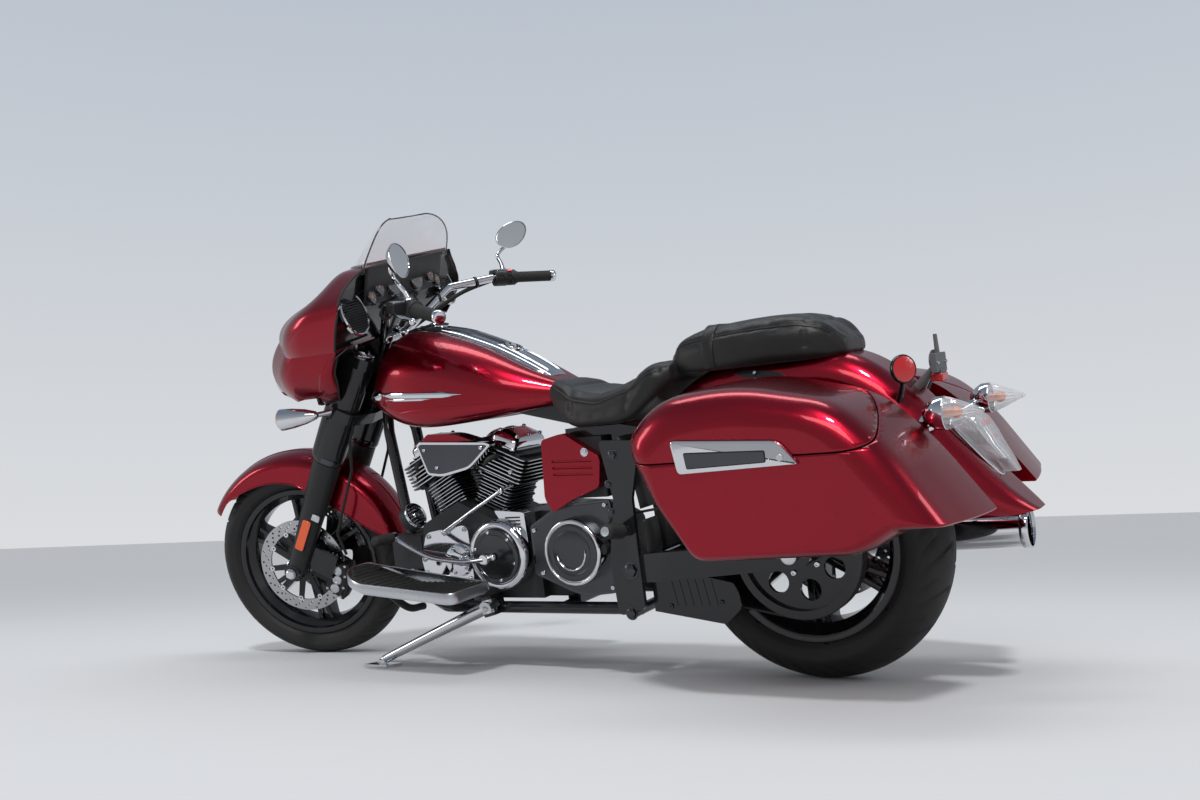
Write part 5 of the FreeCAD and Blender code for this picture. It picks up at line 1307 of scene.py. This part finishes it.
add("front_fender_rims", pair(tube(rim, 2.2, 8, 1)), RED, "steering", FRONT)

# Fairing: sides drawn back to the fork, seals along their edges
NOSE_SIDE = [(824, 1468, 131, 40), (845, 1450, 182, 48), (866, 1438, 203, 50), (886, 1425, 222, 50),
             (908, 1413, 236, 46), (930, 1400, 248, 40), (965, 1366, 257, 26), (1000, 1330, 264, 12),
             (1030, 1310, 262, 3)]
rows = []
for z, x, y, d in NOSE_SIDE:
    section = ((6, 0.2), (0, 0.9), (-d * 0.4, 0.8), (-d * 0.75, -1.5), (-d * 0.94, -5), (-d, -9))
    rows.append([(x + back, y + out, z) for back, out in section])
seal = tube([r[-1] for r in rows], 3.0, 8, 5)
add("fairing_cheeks", pair(skin(rows)), RED, "steering", solid=3, sharp=60)
add("fairing_nose_seals", pair(seal), RUBBER, "steering")

# Saddlebags: softly rounded shells, split at the lid seam, walled so that the bags open hollow
BAG_INNER = [(198, 560), (240, 650), (150, 736), (-30, 752), (-264, 690), (-368, 588), (-484, 424),
             (-365, 426), (-285, 382), (82, 372), (174, 511)]
BAG_WIDE = [(199, 562), (238, 646), (148, 728), (-30, 742), (-250, 693), (-344, 600), (-452, 432),
            (-365, 428), (-285, 382), (82, 372), (175, 511)]
BAG_FACE = [(152, 560), (160, 604), (98, 648), (-30, 662), (-196, 643), (-256, 600), (-368, 452),
            (-340, 446), (-262, 404), (70, 394), (140, 508)]
BENDS = [44, 60, 120, 260, 150, 80, 10, 10, 36, 26, 70]
ROLL = [(203, 0, 0), (250, 0.1, 0), (330, 0.4, 0), (405, 0.85, 0), (448, 1.0, 0.05), (474, 1.0, 0.22),
        (490, 1.0, 0.5), (497, 1.0, 0.78), (500, 1.0, 1.0)]
rows = []
for y, out, face in smooth_rows(ROLL, 4):
    out, face = min(max(out, 0), 1), min(max(face, 0), 1)
    mixed = [tuple(i + (w - i) * out + (f - w) * face for i, w, f in zip(*corner))
             for corner in zip(BAG_INNER, BAG_WIDE, BAG_FACE)]
    rows.append([(x, min(max(y, 203), 500), z) for x, z in rounded(mixed, BENDS, 10)])
edge = [(x, z) for x, _, z in rows[-1]]
rows.append([(x, 500, z) for x, z in shrunk(edge, 2.5)])
first = [(x, z) for x, _, z in rows[0]]
rows.insert(0, [(x, 203, z) for x, z in shrunk(first, 2.5)])
shell = loft(rows)


def parted(part, at, normal):
    """The side of a mesh that a plane's normal points to."""
    bm = bmesh.new()
    for v in part[0]:
        bm.verts.new(v)
    bm.verts.ensure_lookup_table()
    for f in part[1]:
        bm.faces.new([bm.verts[i] for i in f])
    bmesh.ops.bisect_plane(bm, geom=bm.verts[:] + bm.edges[:] + bm.faces[:], plane_co=at, plane_no=normal,
                           clear_inner=True)
    bm.verts.index_update()
    out = [tuple(v.co) for v in bm.verts], [[v.index for v in f.verts] for f in bm.faces]
    bm.free()
    return out


HINGE = Vector((0, 197, 699))
across = Vector((0, 107, 303)).normalized()
body = parted(shell, HINGE - across * 1.5, -across)
lid = parted(shell, HINGE + across * 1.5, across)


def knuckles(spans, z0, z1):
    """Hinge barrels over stretches of the hinge line, with the leaves that hold them."""
    barrels = []
    for x0, x1 in spans:
        ends = [HINGE + Vector((x, 0, 0)) for x in (x0 + 0.5, x1 - 0.5)]
        barrels.append(tube(ends, 5.4, 16, 1))
    return merge(*barrels, *[block(x0, x1, 197, 204, z0, z1) for x0, x1 in spans])


body_knuckles = knuckles(((80, 110), (140, 170), (-170, -140), (-110, -80)), 684, 699)
lid_knuckles = knuckles(((111, 139), (-139, -111)), 699, 713)
add("bag_shells", pair(body), RED, replaces=("saddlebags",), solid=3.6, sharp=38)
add("bag_hinges", pair(body_knuckles), SATIN_BLACK)
for side, label in SIDES:
    add("lid_shell_" + label, handed(lid, side), RED, label + "_lid", replaces=("lid_" + label,), solid=3.6,
        sharp=38)
    add("lid_hinge_" + label, handed(lid_knuckles, side), SATIN_BLACK, label + "_lid")

# Mudguard sheet between the rear wheel and the gearbox, open where the belt runs through
GUARD = [(430, 636), (412, 580), (396, 520), (384, 452), (382, 424), (378, 390), (378, 330)]
path = smooth_rows(GUARD, 4)


def sheet(stretch, ys, back=0):
    """Part of the mudguard; its middle stands back from its edges."""
    return skin([[(x + (0 if abs(y) > 150 else back), y, z) for y in ys] for x, z in stretch])


guard = [sheet(path, (-168, -120, 0, 60, 98), 3), sheet(path[:13], (98, 134, 168)),
         sheet(path[16:], (98, 134, 168))]
add("inner_mudguard", guard, PLASTIC, solid=3)


# Luggage: latches on the lids and hinge screws
LATCH = [(96, 641), (-147, 625), (-188, 574), (84, 567)]


def latch():
    """Bevelled latch plate with its lever let into it: plate, recess, lever and lock."""
    outline = rounded(LATCH, [14, 16, 8, 12])
    levels = [(500.9, 0), (506, 0), (509.2, 1.6), (510.8, 5)]
    base = loft([[(x, y, z) for x, z in (shrunk(outline, d) if d else outline)] for y, d in levels])
    inner = rounded([(62, 611), (-118, 605), (-118, 584), (58, 580)], 3, 3)
    lock = merge(shift(turned([(510, 0), (510, 7), (513, 6.6), (513, 0)], 28), -150, 0, 590),
                 block(-151, -149, 513, 513.3, 586, 594))
    return base, slab(shrunk(inner, -2), 510.4, 511.2), slab(inner, 508, 513.2), lock


for side, label in SIDES:
    base, recess, lever, lock = [handed(part, side) for part in latch()]
    lid = label + "_lid"
    add("latch_plate_" + label, base, CHROME, lid, replaces=("latch_" + label,), sharp=28)
    add("latch_recess_" + label, recess, SATIN_BLACK, lid)
    add("latch_lever_" + label, lever, DARK_CHROME, lid, bevel=1.6)
    add("latch_lock_" + label, lock, SATIN, lid, bevel=0.4)
    heads = screws([(x, side * 197, 704) for x in (118, 132, -118, -132)], (0, 0, 1), 3.2, 2.4)
    add("hinge_screws_" + label, heads, CHROME, lid)

# Rear fender: covered slots with their bolts
def follow(surface, line, width, lift, taper=True):
    """Strip of a given width laid along a line on a surface, its ends tapering."""
    home = PARKED.inverted()
    rows = []
    for i, p in enumerate(line):
        _, where, normal, _ = surface.closest_point_on_mesh(PARKED @ Vector(p))
        q, n = home @ where, (home.to_3x3() @ normal).normalized()
        a, b = Vector(line[max(i - 1, 0)]), Vector(line[min(i + 1, len(line) - 1)])
        t = (b - a).normalized()
        side = n.cross(t).normalized()
        f = i / (len(line) - 1)
        w = width * (max(0.06, min(1, 5 * f, 5 * (1 - f))) if taper else 1) / 2
        section = ((1, -1.5), (1, lift * 0.5), (0.55, lift), (-0.55, lift), (-1, lift * 0.5), (-1, -1.5))
        rows.append([q + side * w * share + n * rise for share, rise in section])
    return loft(rows)


slots = []
for side, _ in SIDES:
    line = [(121 - 146 * t, side * 113, 760 - 25 * t ** 1.5) for t in [i / 20 for i in range(21)]]
    slots.append(follow(NODES["rear_fender"], line, 19, 1.6))
add("fender_slot_covers", slots, SATIN_BLACK)
add("fender_slot_bolts", pair(screw((60, 116.5, 756), (0, 1, 0.35), 4.5, 3)), CHROME)

# Tail lamp: chrome frame on the fender, silver bowl with a red row, clear lens
def lamp_level(z, front, back, half, bend):
    return [(x, y, z) for x, y in box_line(front, back, -half, half, [0, bend, bend, 0], 6)]


LAMP_LEVELS = [(622, -330, -398, 33, 14), (614, -330, -414, 42, 18), (600, -330, -430, 48, 20),
               (572, -352, -446, 48, 20), (540, -380, -460, 43, 17), (508, -405, -478, 31, 12),
               (478, -430, -492, 16, 7)]
add("tail_lamp_lens", loft([lamp_level(*v) for v in LAMP_LEVELS]), LENS, replaces=("tail_lamp",), sharp=60)
inner = [(z, f, b + 9, max(h - 7, 4), max(d - 4, 2)) for z, f, b, h, d in LAMP_LEVELS[1:-1]]
add("tail_lamp_bowl", loft([lamp_level(*v) for v in inner]), SILVER, sharp=60)
edge = [(f + (b - f) * 0.30, h + 1.5, z) for z, f, b, h, _ in LAMP_LEVELS]
loop = edge + [(-452, 0, 470)] + [(x, -y, z) for x, y, z in reversed(edge)] + [(-352, 0, 628)]
add("tail_lamp_frame", tube(loop + [loop[0]], 4.2, 10, 5, capped=False), CHROME)
bulbs = [ball((-428 - 12 * k, y, 588 - 34 * k), 8 - k) for k in range(3)
         for y in ((-22, 0, 22) if k < 2 else (-10, 10))]
add("tail_lamp_bulbs", bulbs, RED_LENS)

# Bullet signals: chrome housing, faceted clear cone, amber bulb
BULB = (-420, 200, 630)
shell = turned([(46, 10), (45, 15), (32, 27), (22, 33.5), (18, 35.4), (4, 36), (0, 36), (-1, 34.5),
                (0, 33)], 56)
CONE = [(0, 34), (6, 33), (18, 29.5), (32, 24), (46, 18), (60, 12), (72, 7), (80, 4.2), (82.5, 0.4)]
rows = []
for k, (y, q) in enumerate(CONE):
    facet = 1 if 0 < k < len(CONE) - 1 else 0
    ring = circle(0, 0, q, 28)
    rows.append([(x * (1 + facet * (0.05 if i % 2 else -0.04)), y,
                  z * (1 + facet * (0.05 if i % 2 else -0.04))) for i, (x, z) in enumerate(ring)])
bulbs = [ball(BULB, 13), tube([(-396, 200, 630), (-410, 200, 630)], 9, 14, 1)]
collar = turned([(-3, 0), (-3, 21), (3, 19), (7, 12)], 28)
path = [(-322, 92, 602), (-346, 138, 613), (-366, 176, 624), (-374, 196, 629)]
stalks = [tube(path, [12, 9, 9, 13], 16, 6),
          moved(collar, basis((-330, 106, 605), (-0.5, 0.8, 0.2)))]
add("rear_signal_shells", pair(moved(shell, basis((-398, 200, 630), (1, 0, 0)))), CHROME,
    replaces=("rear_signals",))
add("rear_signal_lenses", pair(moved(loft(rows), basis((-396, 200, 630), (-1, 0, 0)))), LENS, sharp=12)
add("rear_signal_bulbs", pair(bulbs), AMBER)
add("rear_signal_stalks", pair(stalks), CHROME)

# Round reflectors on short stems
at = basis((-292, 126, 728), (-0.80, 0.60, 0.05))
rings = [moved(turned([(0, 0), (0, 28), (3, 32), (9, 32.5), (12, 31), (12, 29)], 48), at),
         tube([(-294, 126, 722), (-286, 112, 692), (-264, 90, 644)], [8, 6, 8], 14, 5)]
face = moved(turned([(11, 29.5), (13.5, 22), (14.5, 0)], 40), at)
add("reflector_rings", pair(rings), GLOSS_BLACK, replaces=("rear_reflectors",))
add("reflector_faces", pair(face), RED_LENS)

# Plate holder: stem, cross bar, bare back plate, lamp block
stem = [tube([(-240, 0, 640), (-300, 0, 694), (-338, 0, 728)], [10, 9, 9], 14, 4),
        plate(-346, -333, 710, 754, 3, -42, 42),
        slab(rounded([(-344, 738), (-335, 738), (-335, 797), (-341, 797)], 3), -7, 7)]
add("plate_holder", stem, PLASTIC_GREY, replaces=("plate_bracket",), bevel=1.5)
add("plate_lamp", plate(-352, -326, 690, 708, 4, -24, 24), RED_LENS, bevel=2)
add("plate_lamp_case", plate(-350, -328, 706, 716, 3, -20, 20), PLASTIC_GREY, bevel=1)
add("plate_bolts", pair(screw((-346, 32, 732), (-1, 0, 0), 4.5, 4)), CHROME)


# Tank: bare trim spears on its sides, ribbed console on top, filler cap and a small dial
tank = NODES["fuel_tank"]
SPEARS = ((1236, 902, 812, 786, 17, 4.5), (1286, 1206, 806, 811, 26, 6), (1190, 1010, 794, 783, 8, 2.6))
spears, seams = [], []
for side, _ in SIDES:
    for x0, x1, z0, z1, width, lift in SPEARS:
        line = [(x0 + (x1 - x0) * i / 24, side * 178, z0 + (z1 - z0) * i / 24) for i in range(25)]
        spears.append(follow(tank, line, width, lift))
    line = [(x, side * 165, 742 + 14 * sin((x - 700) / 600 * pi)) for x in range(720, 1290, 24)]
    seams.append(follow(tank, line, 3.2, 0.5, taper=False))
add("tank_spears", spears, CHROME)
add("tank_seams", seams, RED)

CONSOLE = [(1176, 49, 990), (1130, 57, 993.5), (1065, 59, 982), (1000, 60, 965.5), (935, 59.5, 941),
           (870, 58, 913.5), (815, 56, 885), (760, 54, 853.5), (722, 50, 829), (694, 42, 808)]
path = smooth_rows(CONSOLE, 5)
rows = []
for x, half, z in path:
    left = [(half + 1, -26), (half, -8), (half - 4, -2.5), (half - 11, 0.4), (half * 0.5, 1.6)]
    section = [(-y, drop) for y, drop in left] + [(0, 2.0)] + left[::-1]
    rows.append([(x, y, z + drop) for y, drop in section])
add("console_shell", skin(rows), CHROME, replaces=("tank_console",), solid=3, sharp=60)
ribs = []
for share in (-0.62, -0.46, 0.46, 0.62):
    line = [(x, half * share, z + 2.6) for x, half, z in path[4:-3]]
    ribs.append(tube(line, [0.8] + [1.6] * (len(line) - 2) + [0.8], 8, 1))
add("console_ribs", ribs, CHROME)
panel = [[(x, half * s, z + 2.4) for s in (-0.36, -0.12, 0.12, 0.36)] for x, half, z in path[8:26]]
add("console_panel", skin(panel), SATIN_BLACK, solid=1.5)
cap_at = basis((1112, 0, 991), (0.10, 0, 1))
cap = turned([(-8, 37), (2, 37), (6, 35), (8, 30), (8, 17), (11, 15), (13, 11), (13, 0)], 56)
ring = turned([(1, 42), (3, 42), (4, 40), (4, 36.5)], 56)
add("filler_cap", moved(cap, cap_at), CHROME)
add("filler_cap_ring", moved(ring, cap_at), SATIN_BLACK)
dial_at = basis((838, 0, 899), (-0.42, 0, 0.9))
ring = turned([(-6, 27), (5, 28), (8, 26), (7, 23), (3, 22)], 48)
face = turned([(3.4, 23), (3.4, 0)], 40)
marks = [tick(13, 19, 0.6, radians(40 + 100 * k / 6), 4) for k in range(7)]
marks.append(([(-1, 4.6, -6), (1, 4.6, -6), (8, 4.6, 14)], [(0, 1, 2)]))
add("fuel_dial_ring", moved(ring, dial_at), CHROME)
add("fuel_dial_face", moved(face, dial_at), SATIN_BLACK)
add("fuel_dial_marks", moved(marks, dial_at), WHITE)

# Floorboards: ribbed rubber on a stepped aluminium tray
TRAY = [(826, 284.3), (1028, 284.3), (1052, 285.6), (1080, 292.4), (1252, 341.6)]


def board_at(x):
    """Height of the tray's top at a place along it."""
    for (xa, za), (xb, zb) in zip(TRAY, TRAY[1:]):
        if x <= xb:
            return za + (zb - za) * (x - xa) / (xb - xa)
    return TRAY[-1][1]


def tray_edge(inset, rise):
    """Outline of the board, its outer front corner cut away, at a height above the tray's top."""
    corners = [(828, 240), (1256, 240), (1256, 330), (1190, 398), (828, 398)]
    line = shrunk(rounded(corners, [16, 26, 40, 60, 34], 6), inset)
    return [(x, y, board_at(x) + rise) for x, y in line]


def ridge(x, outer):
    """Rubber bar across the mat, narrower at its top."""
    low, high = board_at(x) + 3, board_at(x) + 7
    base = [(x - 3.1, 256, low), (x + 3.1, 256, low), (x + 3.1, outer - 6, low), (x - 3.1, outer - 6, low)]
    top = [(x - 2, 257, high), (x + 2, 257, high), (x + 2, outer - 7, high), (x - 2, outer - 7, high)]
    return loft([base, top])


tray = [skin([tray_edge(*step) for step in steps], closed=True) for steps in (
    ((0, -20), (0, 1)), ((0, 1), (2, 4), (7, 4), (8, 1)), ((0, -20), (9, -20), (11, -27), (20, -27)))]
strips, ridges = [], []
for i in range(43):
    x = 838 + 9.6 * i
    outer = 388 if x < 1180 else 388 - (x - 1180) * 0.98
    if outer < 268:
        break
    strips.append([(x, 250, board_at(x) + 3.5), (x, outer, board_at(x) + 3.5)])
    if i % 2:
        ridges.append(ridge(x, outer))
arms = [tube([(x, 130, 192), (x, 200, 206), (x, 300, 258 if x < 1100 else 292)], 10.5, 16, 6)
        for x in (1000, 1170)]
add("floorboard_trays", pair(tray), SATIN, replaces=("floorboards",), solid=2.5)
add("floorboard_mats", pair(skin(strips)), RUBBER, solid=6)
add("floorboard_ridges", pair(ridges), RUBBER)
add("floorboard_arms", pair(arms), SATIN_BLACK)
pivots = [hexnut((x, 246, z), (0, -1, 0), 10, 9) for x, z in ((1000, 262), (1170, 300))]
add("floorboard_nuts", pair(pivots), CHROME)

# Shift lever with its rubber peg, and the brake pedal's pad
path = [(850, 226, 342), (895, 226, 338), (943, 226, 338), (1030, 226, 349), (1098, 230, 378),
        (1152, 236, 412)]
hub = turned([(-8, 0), (-8, 14), (4, 15), (8, 13), (8, 0)], 32)
lever = [tube(path, [10, 8, 7.5, 7.5, 8, 9], 16, 8, flat=0.8),
         moved(hub, basis((850, 226, 342), (0, 1, 0))),
         tube([(850, 188, 342), (850, 230, 342)], 9, 16, 1), ball((822, 226, 348), 9.5),
         tube([(850, 226, 342), (836, 226, 345), (822, 226, 348)], [8, 6, 7], 12, 4),
         tube([(1152, 232, 412), (1152, 246, 412)], 13, 20, 1),
         tube([(943, 220, 332), (985, 206, 334), (1004, 178, 330)], [6, 6, 8], 12, 6)]
add("shift_lever", lever, CHROME, replaces=("foot_levers",))
peg = [(0, 0), (0, 12)]
for k in range(9):
    peg += [(3 + 7.6 * k, 13.2), (5 + 7.6 * k, 14.4), (8 + 7.6 * k, 14.4), (9.4 + 7.6 * k, 13.2)]
peg += [(74, 11), (76, 6), (76, 0)]
add("shift_peg", moved(turned(peg, 32), basis((1152, 244, 412), (0, 1, 0.02))), RUBBER, sharp=30)
pedal = [tube([(940, -226, 300), (1000, -226, 312), (1060, -226, 330), (1110, -229, 354),
               (1134, -232, 368)], [10, 8, 8, 8, 9], 14, 8),
         tube([(940, -146, 300), (940, -234, 300)], 9, 16, 1),
         slab(rounded([(1118, 364), (1182, 368), (1182, 376), (1118, 372)], 3), -312, -224)]
add("brake_pedal", pedal, CHROME, bevel=1)
bars = []
for x in range(1122, 1178, 9):
    z = 372 + (x - 1118) * 0.06
    bars.append(slab([(x, z), (x + 5, z + 0.3), (x + 4, z + 6), (x + 1, z + 6)], -308, -228))
add("brake_pedal_pad", bars, RUBBER)

# Passenger pegs: ribbed rubber sleeves on the frame's stubs
sleeve = [(0, 12), (0, 17), (3, 19)]
for k in range(8):
    sleeve += [(5 + 8 * k, 17.6), (7 + 8 * k, 19.6), (10.5 + 8 * k, 19.6), (12 + 8 * k, 17.6)]
sleeve += [(70, 18), (73, 14), (73, 0)]
end = turned([(72, 0), (72, 13), (76, 12), (77, 0)], 28)
at = basis((430, 200, 402.5), (0, 1, 0.17))
add("passenger_pegs", pair(moved(turned(sleeve, 32), at)), RUBBER, sharp=30)
add("passenger_peg_ends", pair(moved(end, at)), CHROME)

# Side stand: broad polished leg on its pivot, flat foot, coil spring beside it
pivot, toe = Vector((896, 172, 204)), Vector((1262, 221.5, 58))
leg = [tube([pivot, pivot.lerp(toe, 0.12), pivot.lerp(toe, 0.45), pivot.lerp(toe, 0.9), toe],
            [17, 17.5, 15, 12.5, 11], 24, 6),
       tube([pivot + Vector((0, -19, 4)), pivot + Vector((0, 19, -4))], 20, 28, 1)]
add("stand_leg_cover", leg, CHROME, "side_stand")
add("stand_pivot_bolt", hexnut(pivot + Vector((0, 16, -4)), (0, 1, -0.2), 8.5, 7), SATIN, "side_stand")
a, b = Vector((928, 168, 190)), Vector((1074, 192, 132))
d = (b - a).normalized()
m = basis(a, d)
turns, fine = 18, 12
coil = []
for k in range(turns * fine + 1):
    x, z = polar(7.5, 360 * k / fine)
    coil.append(m @ Vector((x, (b - a).length * (0.14 + 0.72 * k / (turns * fine)), z)))
spring = [tube(coil, 1.7, 7, 1), tube([a, a + d * 12, a + d * 22], 3, 8, 1),
          tube([b - d * 22, b - d * 10, b], 3, 8, 1)]
add("stand_spring", spring, SATIN, "side_stand")
add("stand_spring_post", tube([(1074, 192, 140), (1072, 190, 128)], 5, 12, 1), CHROME, "side_stand")

# Frame and running gear bolts
nuts = screws([(x, 127, 612) for x in (360, 240, 60, -160)], (0, 1, 0), 6.5, 5)
nuts = [pair(nuts), screws([(x, 150, z) for x, z in ((330, 282), (200, 214), (340, 204))], (0, 1, 0), 6, 5)]
for x, z, q in ((437, 192, 13), (440, 592, 11), (425, 300, 17), (462, 450, 8), (462, 520, 8)):
    washer = moved(turned([(0, 0), (0, q * 1.35), (1.6, q * 1.3), (1.6, 0)], 28),
                   basis((x, 183.5, z), (0, 1, 0)))
    nuts.append(pair([hexnut((x, 184, z), (0, 1, 0), q, q * 0.6), washer]))
add("frame_bolts", nuts, SMOKED)
ribs = [slab([(x, 205), (x + 4, 205), (x + 16, 270), (x + 12, 270)], 149, 151.5)
        for x in range(210, 321, 22)]
add("guard_ribs", ribs, GLOSS_BLACK)

# Belt: round the rear pulley, along to the small one in front, round it and back
WHEEL_AXLE = Vector((0, 330))
SPROCKET = Vector(DRUM)
BIG, SMALL, THICK = 156.3, 62.3, 5
way = SPROCKET - WHEEL_AXLE
slope = math.atan2(way.y, way.x)
swing = math.acos((BIG - SMALL) / way.length)


def on_pulley(centre, radius, start, sweep, steps):
    angles = [start + sweep * k / steps for k in range(steps + 1)]
    return [centre + Vector((radius * cos(t), radius * sin(t))) for t in angles]


rear_arc = on_pulley(WHEEL_AXLE, BIG, slope + swing, 2 * pi - 2 * swing, 60)
front_arc = on_pulley(SPROCKET, SMALL, slope - swing, 2 * swing, 20)
low_run = [rear_arc[-1].lerp(front_arc[0], k / 30) for k in range(1, 30)]
high_run = [front_arc[-1].lerp(rear_arc[0], k / 30) for k in range(1, 30)]
loop = rear_arc + low_run + front_arc + high_run
belt = []
for p, q in zip(loop, loop[1:] + loop[:1]):
    d = (q - p).normalized()
    out = p + Vector((d.y, -d.x)) * THICK
    belt.append([(p.x, 104.6, p.y), (out.x, 104.6, out.y), (out.x, 131.4, out.y), (p.x, 131.4, p.y)])
add("belt_band", skin(belt, closed=True, loop=True), RUBBER, replaces=("drive_belt",), sharp=50)

# Exhaust clamps and heat shields
clamps = []
for x, y, z, along, q in ((226, -238, 286, (1, 0, 0.02), 43), (-440, -238, 308, (1, 0, 0), 47)):
    band = turned([(-10, q - 3), (-10, q + 1), (-7, q + 3), (7, q + 3), (10, q + 1), (10, q - 3)], 48)
    clamps.append(moved(band, basis((x, y, z), along)))
clamps.append(hexnut((226, -238, 240), (0, 0, -1), 8, 8))
add("muffler_clamps", clamps, CHROME)
shields = []
for path, q in (([(1186, -176, 470), (1181, -178, 400), (1172, -182, 340), (1158, -186, 292)], 25),
                ([(812, -178, 470), (804, -182, 400), (790, -186, 340), (778, -190, 312)], 24),
                ([(1060, -190, 246), (900, -200, 246), (760, -206, 246), (640, -212, 248)], 25)):
    shields.append(tube(path, q, 24, 8))
add("heat_shields", shields, CHROME)


# Every CAD node not replaced above keeps its shape and gets its finish
FINISH = {
    CHROME: "air_cleaner case_covers clutch_cover exhaust_pipes foot_levers front_signals handlebar "
            "latch_left latch_right mirrors muffler pulley_cover rear_signals rocker_covers stand_leg "
            "tank_console valley_cover",
    RED: "fairing_outer front_fender fuel_tank lid_left lid_right rear_fender saddlebags side_covers",
    GLOSS_BLACK: "fork_legs frame front_rim rear_rim swingarm triple_clamp fairing_inner",
    ENGINE_BLACK: "crankcase cylinders front_calipers rear_caliper",
    PLASTIC: "battery_box control_pods plate_bracket regulator_and_horn",
    RUBBER: "brake_hoses drive_belt grips",
    TYRE: "front_tyre rear_tyre",
    LEATHER: "pillion_seat rider_seat",
    SATIN: "floorboards rear_pulley",
    STEEL: "front_axle front_discs rear_axle rear_disc",
    CLEAR: "windshield",
    LENS: "headlamp tail_lamp",
    RED_LENS: "rear_reflectors",
}
for finish, names in FINISH.items():
    for node in [n for n in names.split() if not NODES[n].hide_render]:
        cad(node, finish)

# The fairing's inside is black: its faces that look towards a place within it
fairing = NODES["fairing_outer"]
fairing.data.materials.append(SATIN_BLACK)
inward = STEERED @ Vector((1290, 0, 1050))
home = fairing.matrix_world
for face in fairing.data.polygons:
    if (home.to_3x3() @ face.normal).dot(home @ face.center - inward) < 0:
        face.material_index = 1


# Floor, light and camera
def plane(name, size, z):
    mesh = bpy.data.meshes.new(name)
    corners = [(-size, -size, z), (size, -size, z), (size, size, z), (-size, size, z)]
    mesh.from_pydata(corners, [], [(0, 1, 2, 3)])
    o = bpy.data.objects.new(name, mesh)
    scene.collection.objects.link(o)
    return o


floor = plane("floor", 60, -0.0005)
floor.data.materials.append(FLOOR)

world = bpy.data.worlds.new("studio")
scene.world = world
world.use_nodes = True
nodes, links = world.node_tree.nodes, world.node_tree.links
nodes.clear()
ray, way = nodes.new("ShaderNodeLightPath"), nodes.new("ShaderNodeTexCoord")
split, ramp = nodes.new("ShaderNodeSeparateXYZ"), nodes.new("ShaderNodeValToRGB")
links.new(way.outputs["Generated"], split.inputs[0])
links.new(split.outputs["Z"], ramp.inputs["Fac"])
low, high = ramp.color_ramp.elements
low.position, low.color = 0.0, (0.70, 0.715, 0.735, 1)
high.position, high.color = 0.85, (0.30, 0.38, 0.50, 1)


def either(a, b):
    """One where at least one of two rays is that kind."""
    node = nodes.new("ShaderNodeMath")
    node.operation, node.use_clamp = "ADD", True
    links.new(a, node.inputs[0])
    links.new(b, node.inputs[1])
    return node.outputs[0]


# What the camera and reflections see is graded and dimmer in reflections; the light itself is even
seen = either(either(ray.outputs["Is Camera Ray"], ray.outputs["Is Glossy Ray"]),
              ray.outputs["Is Transmission Ray"])
dim = nodes.new("ShaderNodeMath")
dim.operation = "MULTIPLY_ADD"
dim.inputs[1].default_value, dim.inputs[2].default_value = -0.42, 1.0
shown, lit = nodes.new("ShaderNodeBackground"), nodes.new("ShaderNodeBackground")
lit.inputs["Color"].default_value = (0.95, 0.97, 1.0, 1)
lit.inputs["Strength"].default_value = 0.5
mix = nodes.new("ShaderNodeMixShader")
links.new(ray.outputs["Is Glossy Ray"], dim.inputs[0])
links.new(dim.outputs[0], shown.inputs["Strength"])
links.new(ramp.outputs["Color"], shown.inputs["Color"])
links.new(seen, mix.inputs["Fac"])
links.new(lit.outputs[0], mix.inputs[1])
links.new(shown.outputs[0], mix.inputs[2])
links.new(mix.outputs[0], nodes.new("ShaderNodeOutputWorld").inputs["Surface"])


def lamp(name, at, target, size, power):
    light = bpy.data.lights.new(name, "AREA")
    light.shape, light.size, light.size_y = "RECTANGLE", size[0], size[1]
    light.energy = power
    o = bpy.data.objects.new(name, light)
    o.location = at
    o.rotation_euler = (Vector(target) - Vector(at)).to_track_quat("-Z", "Y").to_euler()
    scene.collection.objects.link(o)


sun = bpy.data.lights.new("sun", "SUN")
sun.energy, sun.angle = 1.55, radians(7)
sun_at = bpy.data.objects.new("sun", sun)
sun_at.rotation_euler = Vector((0.30, -0.52, -0.80)).to_track_quat("-Z", "Y").to_euler()
scene.collection.objects.link(sun_at)
lamp("key", (-1.6, 3.6, 3.0), (0, 0, 0.6), (2.6, 0.9), 42)
lamp("overhead", (0.2, -0.4, 3.8), (0, 0, 0.5), (3.4, 0.8), 38)
lamp("tail", (-4.2, -1.2, 2.2), (-0.4, 0, 0.6), (1.2, 1.2), 20)
lamp("nose", (4.0, 2.6, 1.8), (0.6, 0, 0.7), (0.8, 1.8), 26)

# The photograph's camera: where it stands, how it is turned and its focal length
EYE = (-1.7989, 2.5813, 0.3878)
FOCAL_SHARE = 1130.91 / 1200
yaw, pitch, roll = radians(32.470), radians(6.206), radians(-1.809)
ahead = Vector((sin(yaw) * cos(pitch), -cos(yaw) * cos(pitch), sin(pitch)))
right = Vector((-cos(yaw), -sin(yaw), 0))
up = right.cross(ahead)
right, up = right * cos(roll) + up * sin(roll), up * cos(roll) - right * sin(roll)
view = bpy.data.cameras.new("photo_view")
view.lens = FOCAL_SHARE * view.sensor_width
view.clip_end = 200
camera = bpy.data.objects.new("photo_view", view)
camera.matrix_world = Matrix((right, up, -ahead)).transposed().to_4x4()
camera.location = EYE
scene.collection.objects.link(camera)
scene.camera = camera
scene.view_settings.view_transform = "Standard"
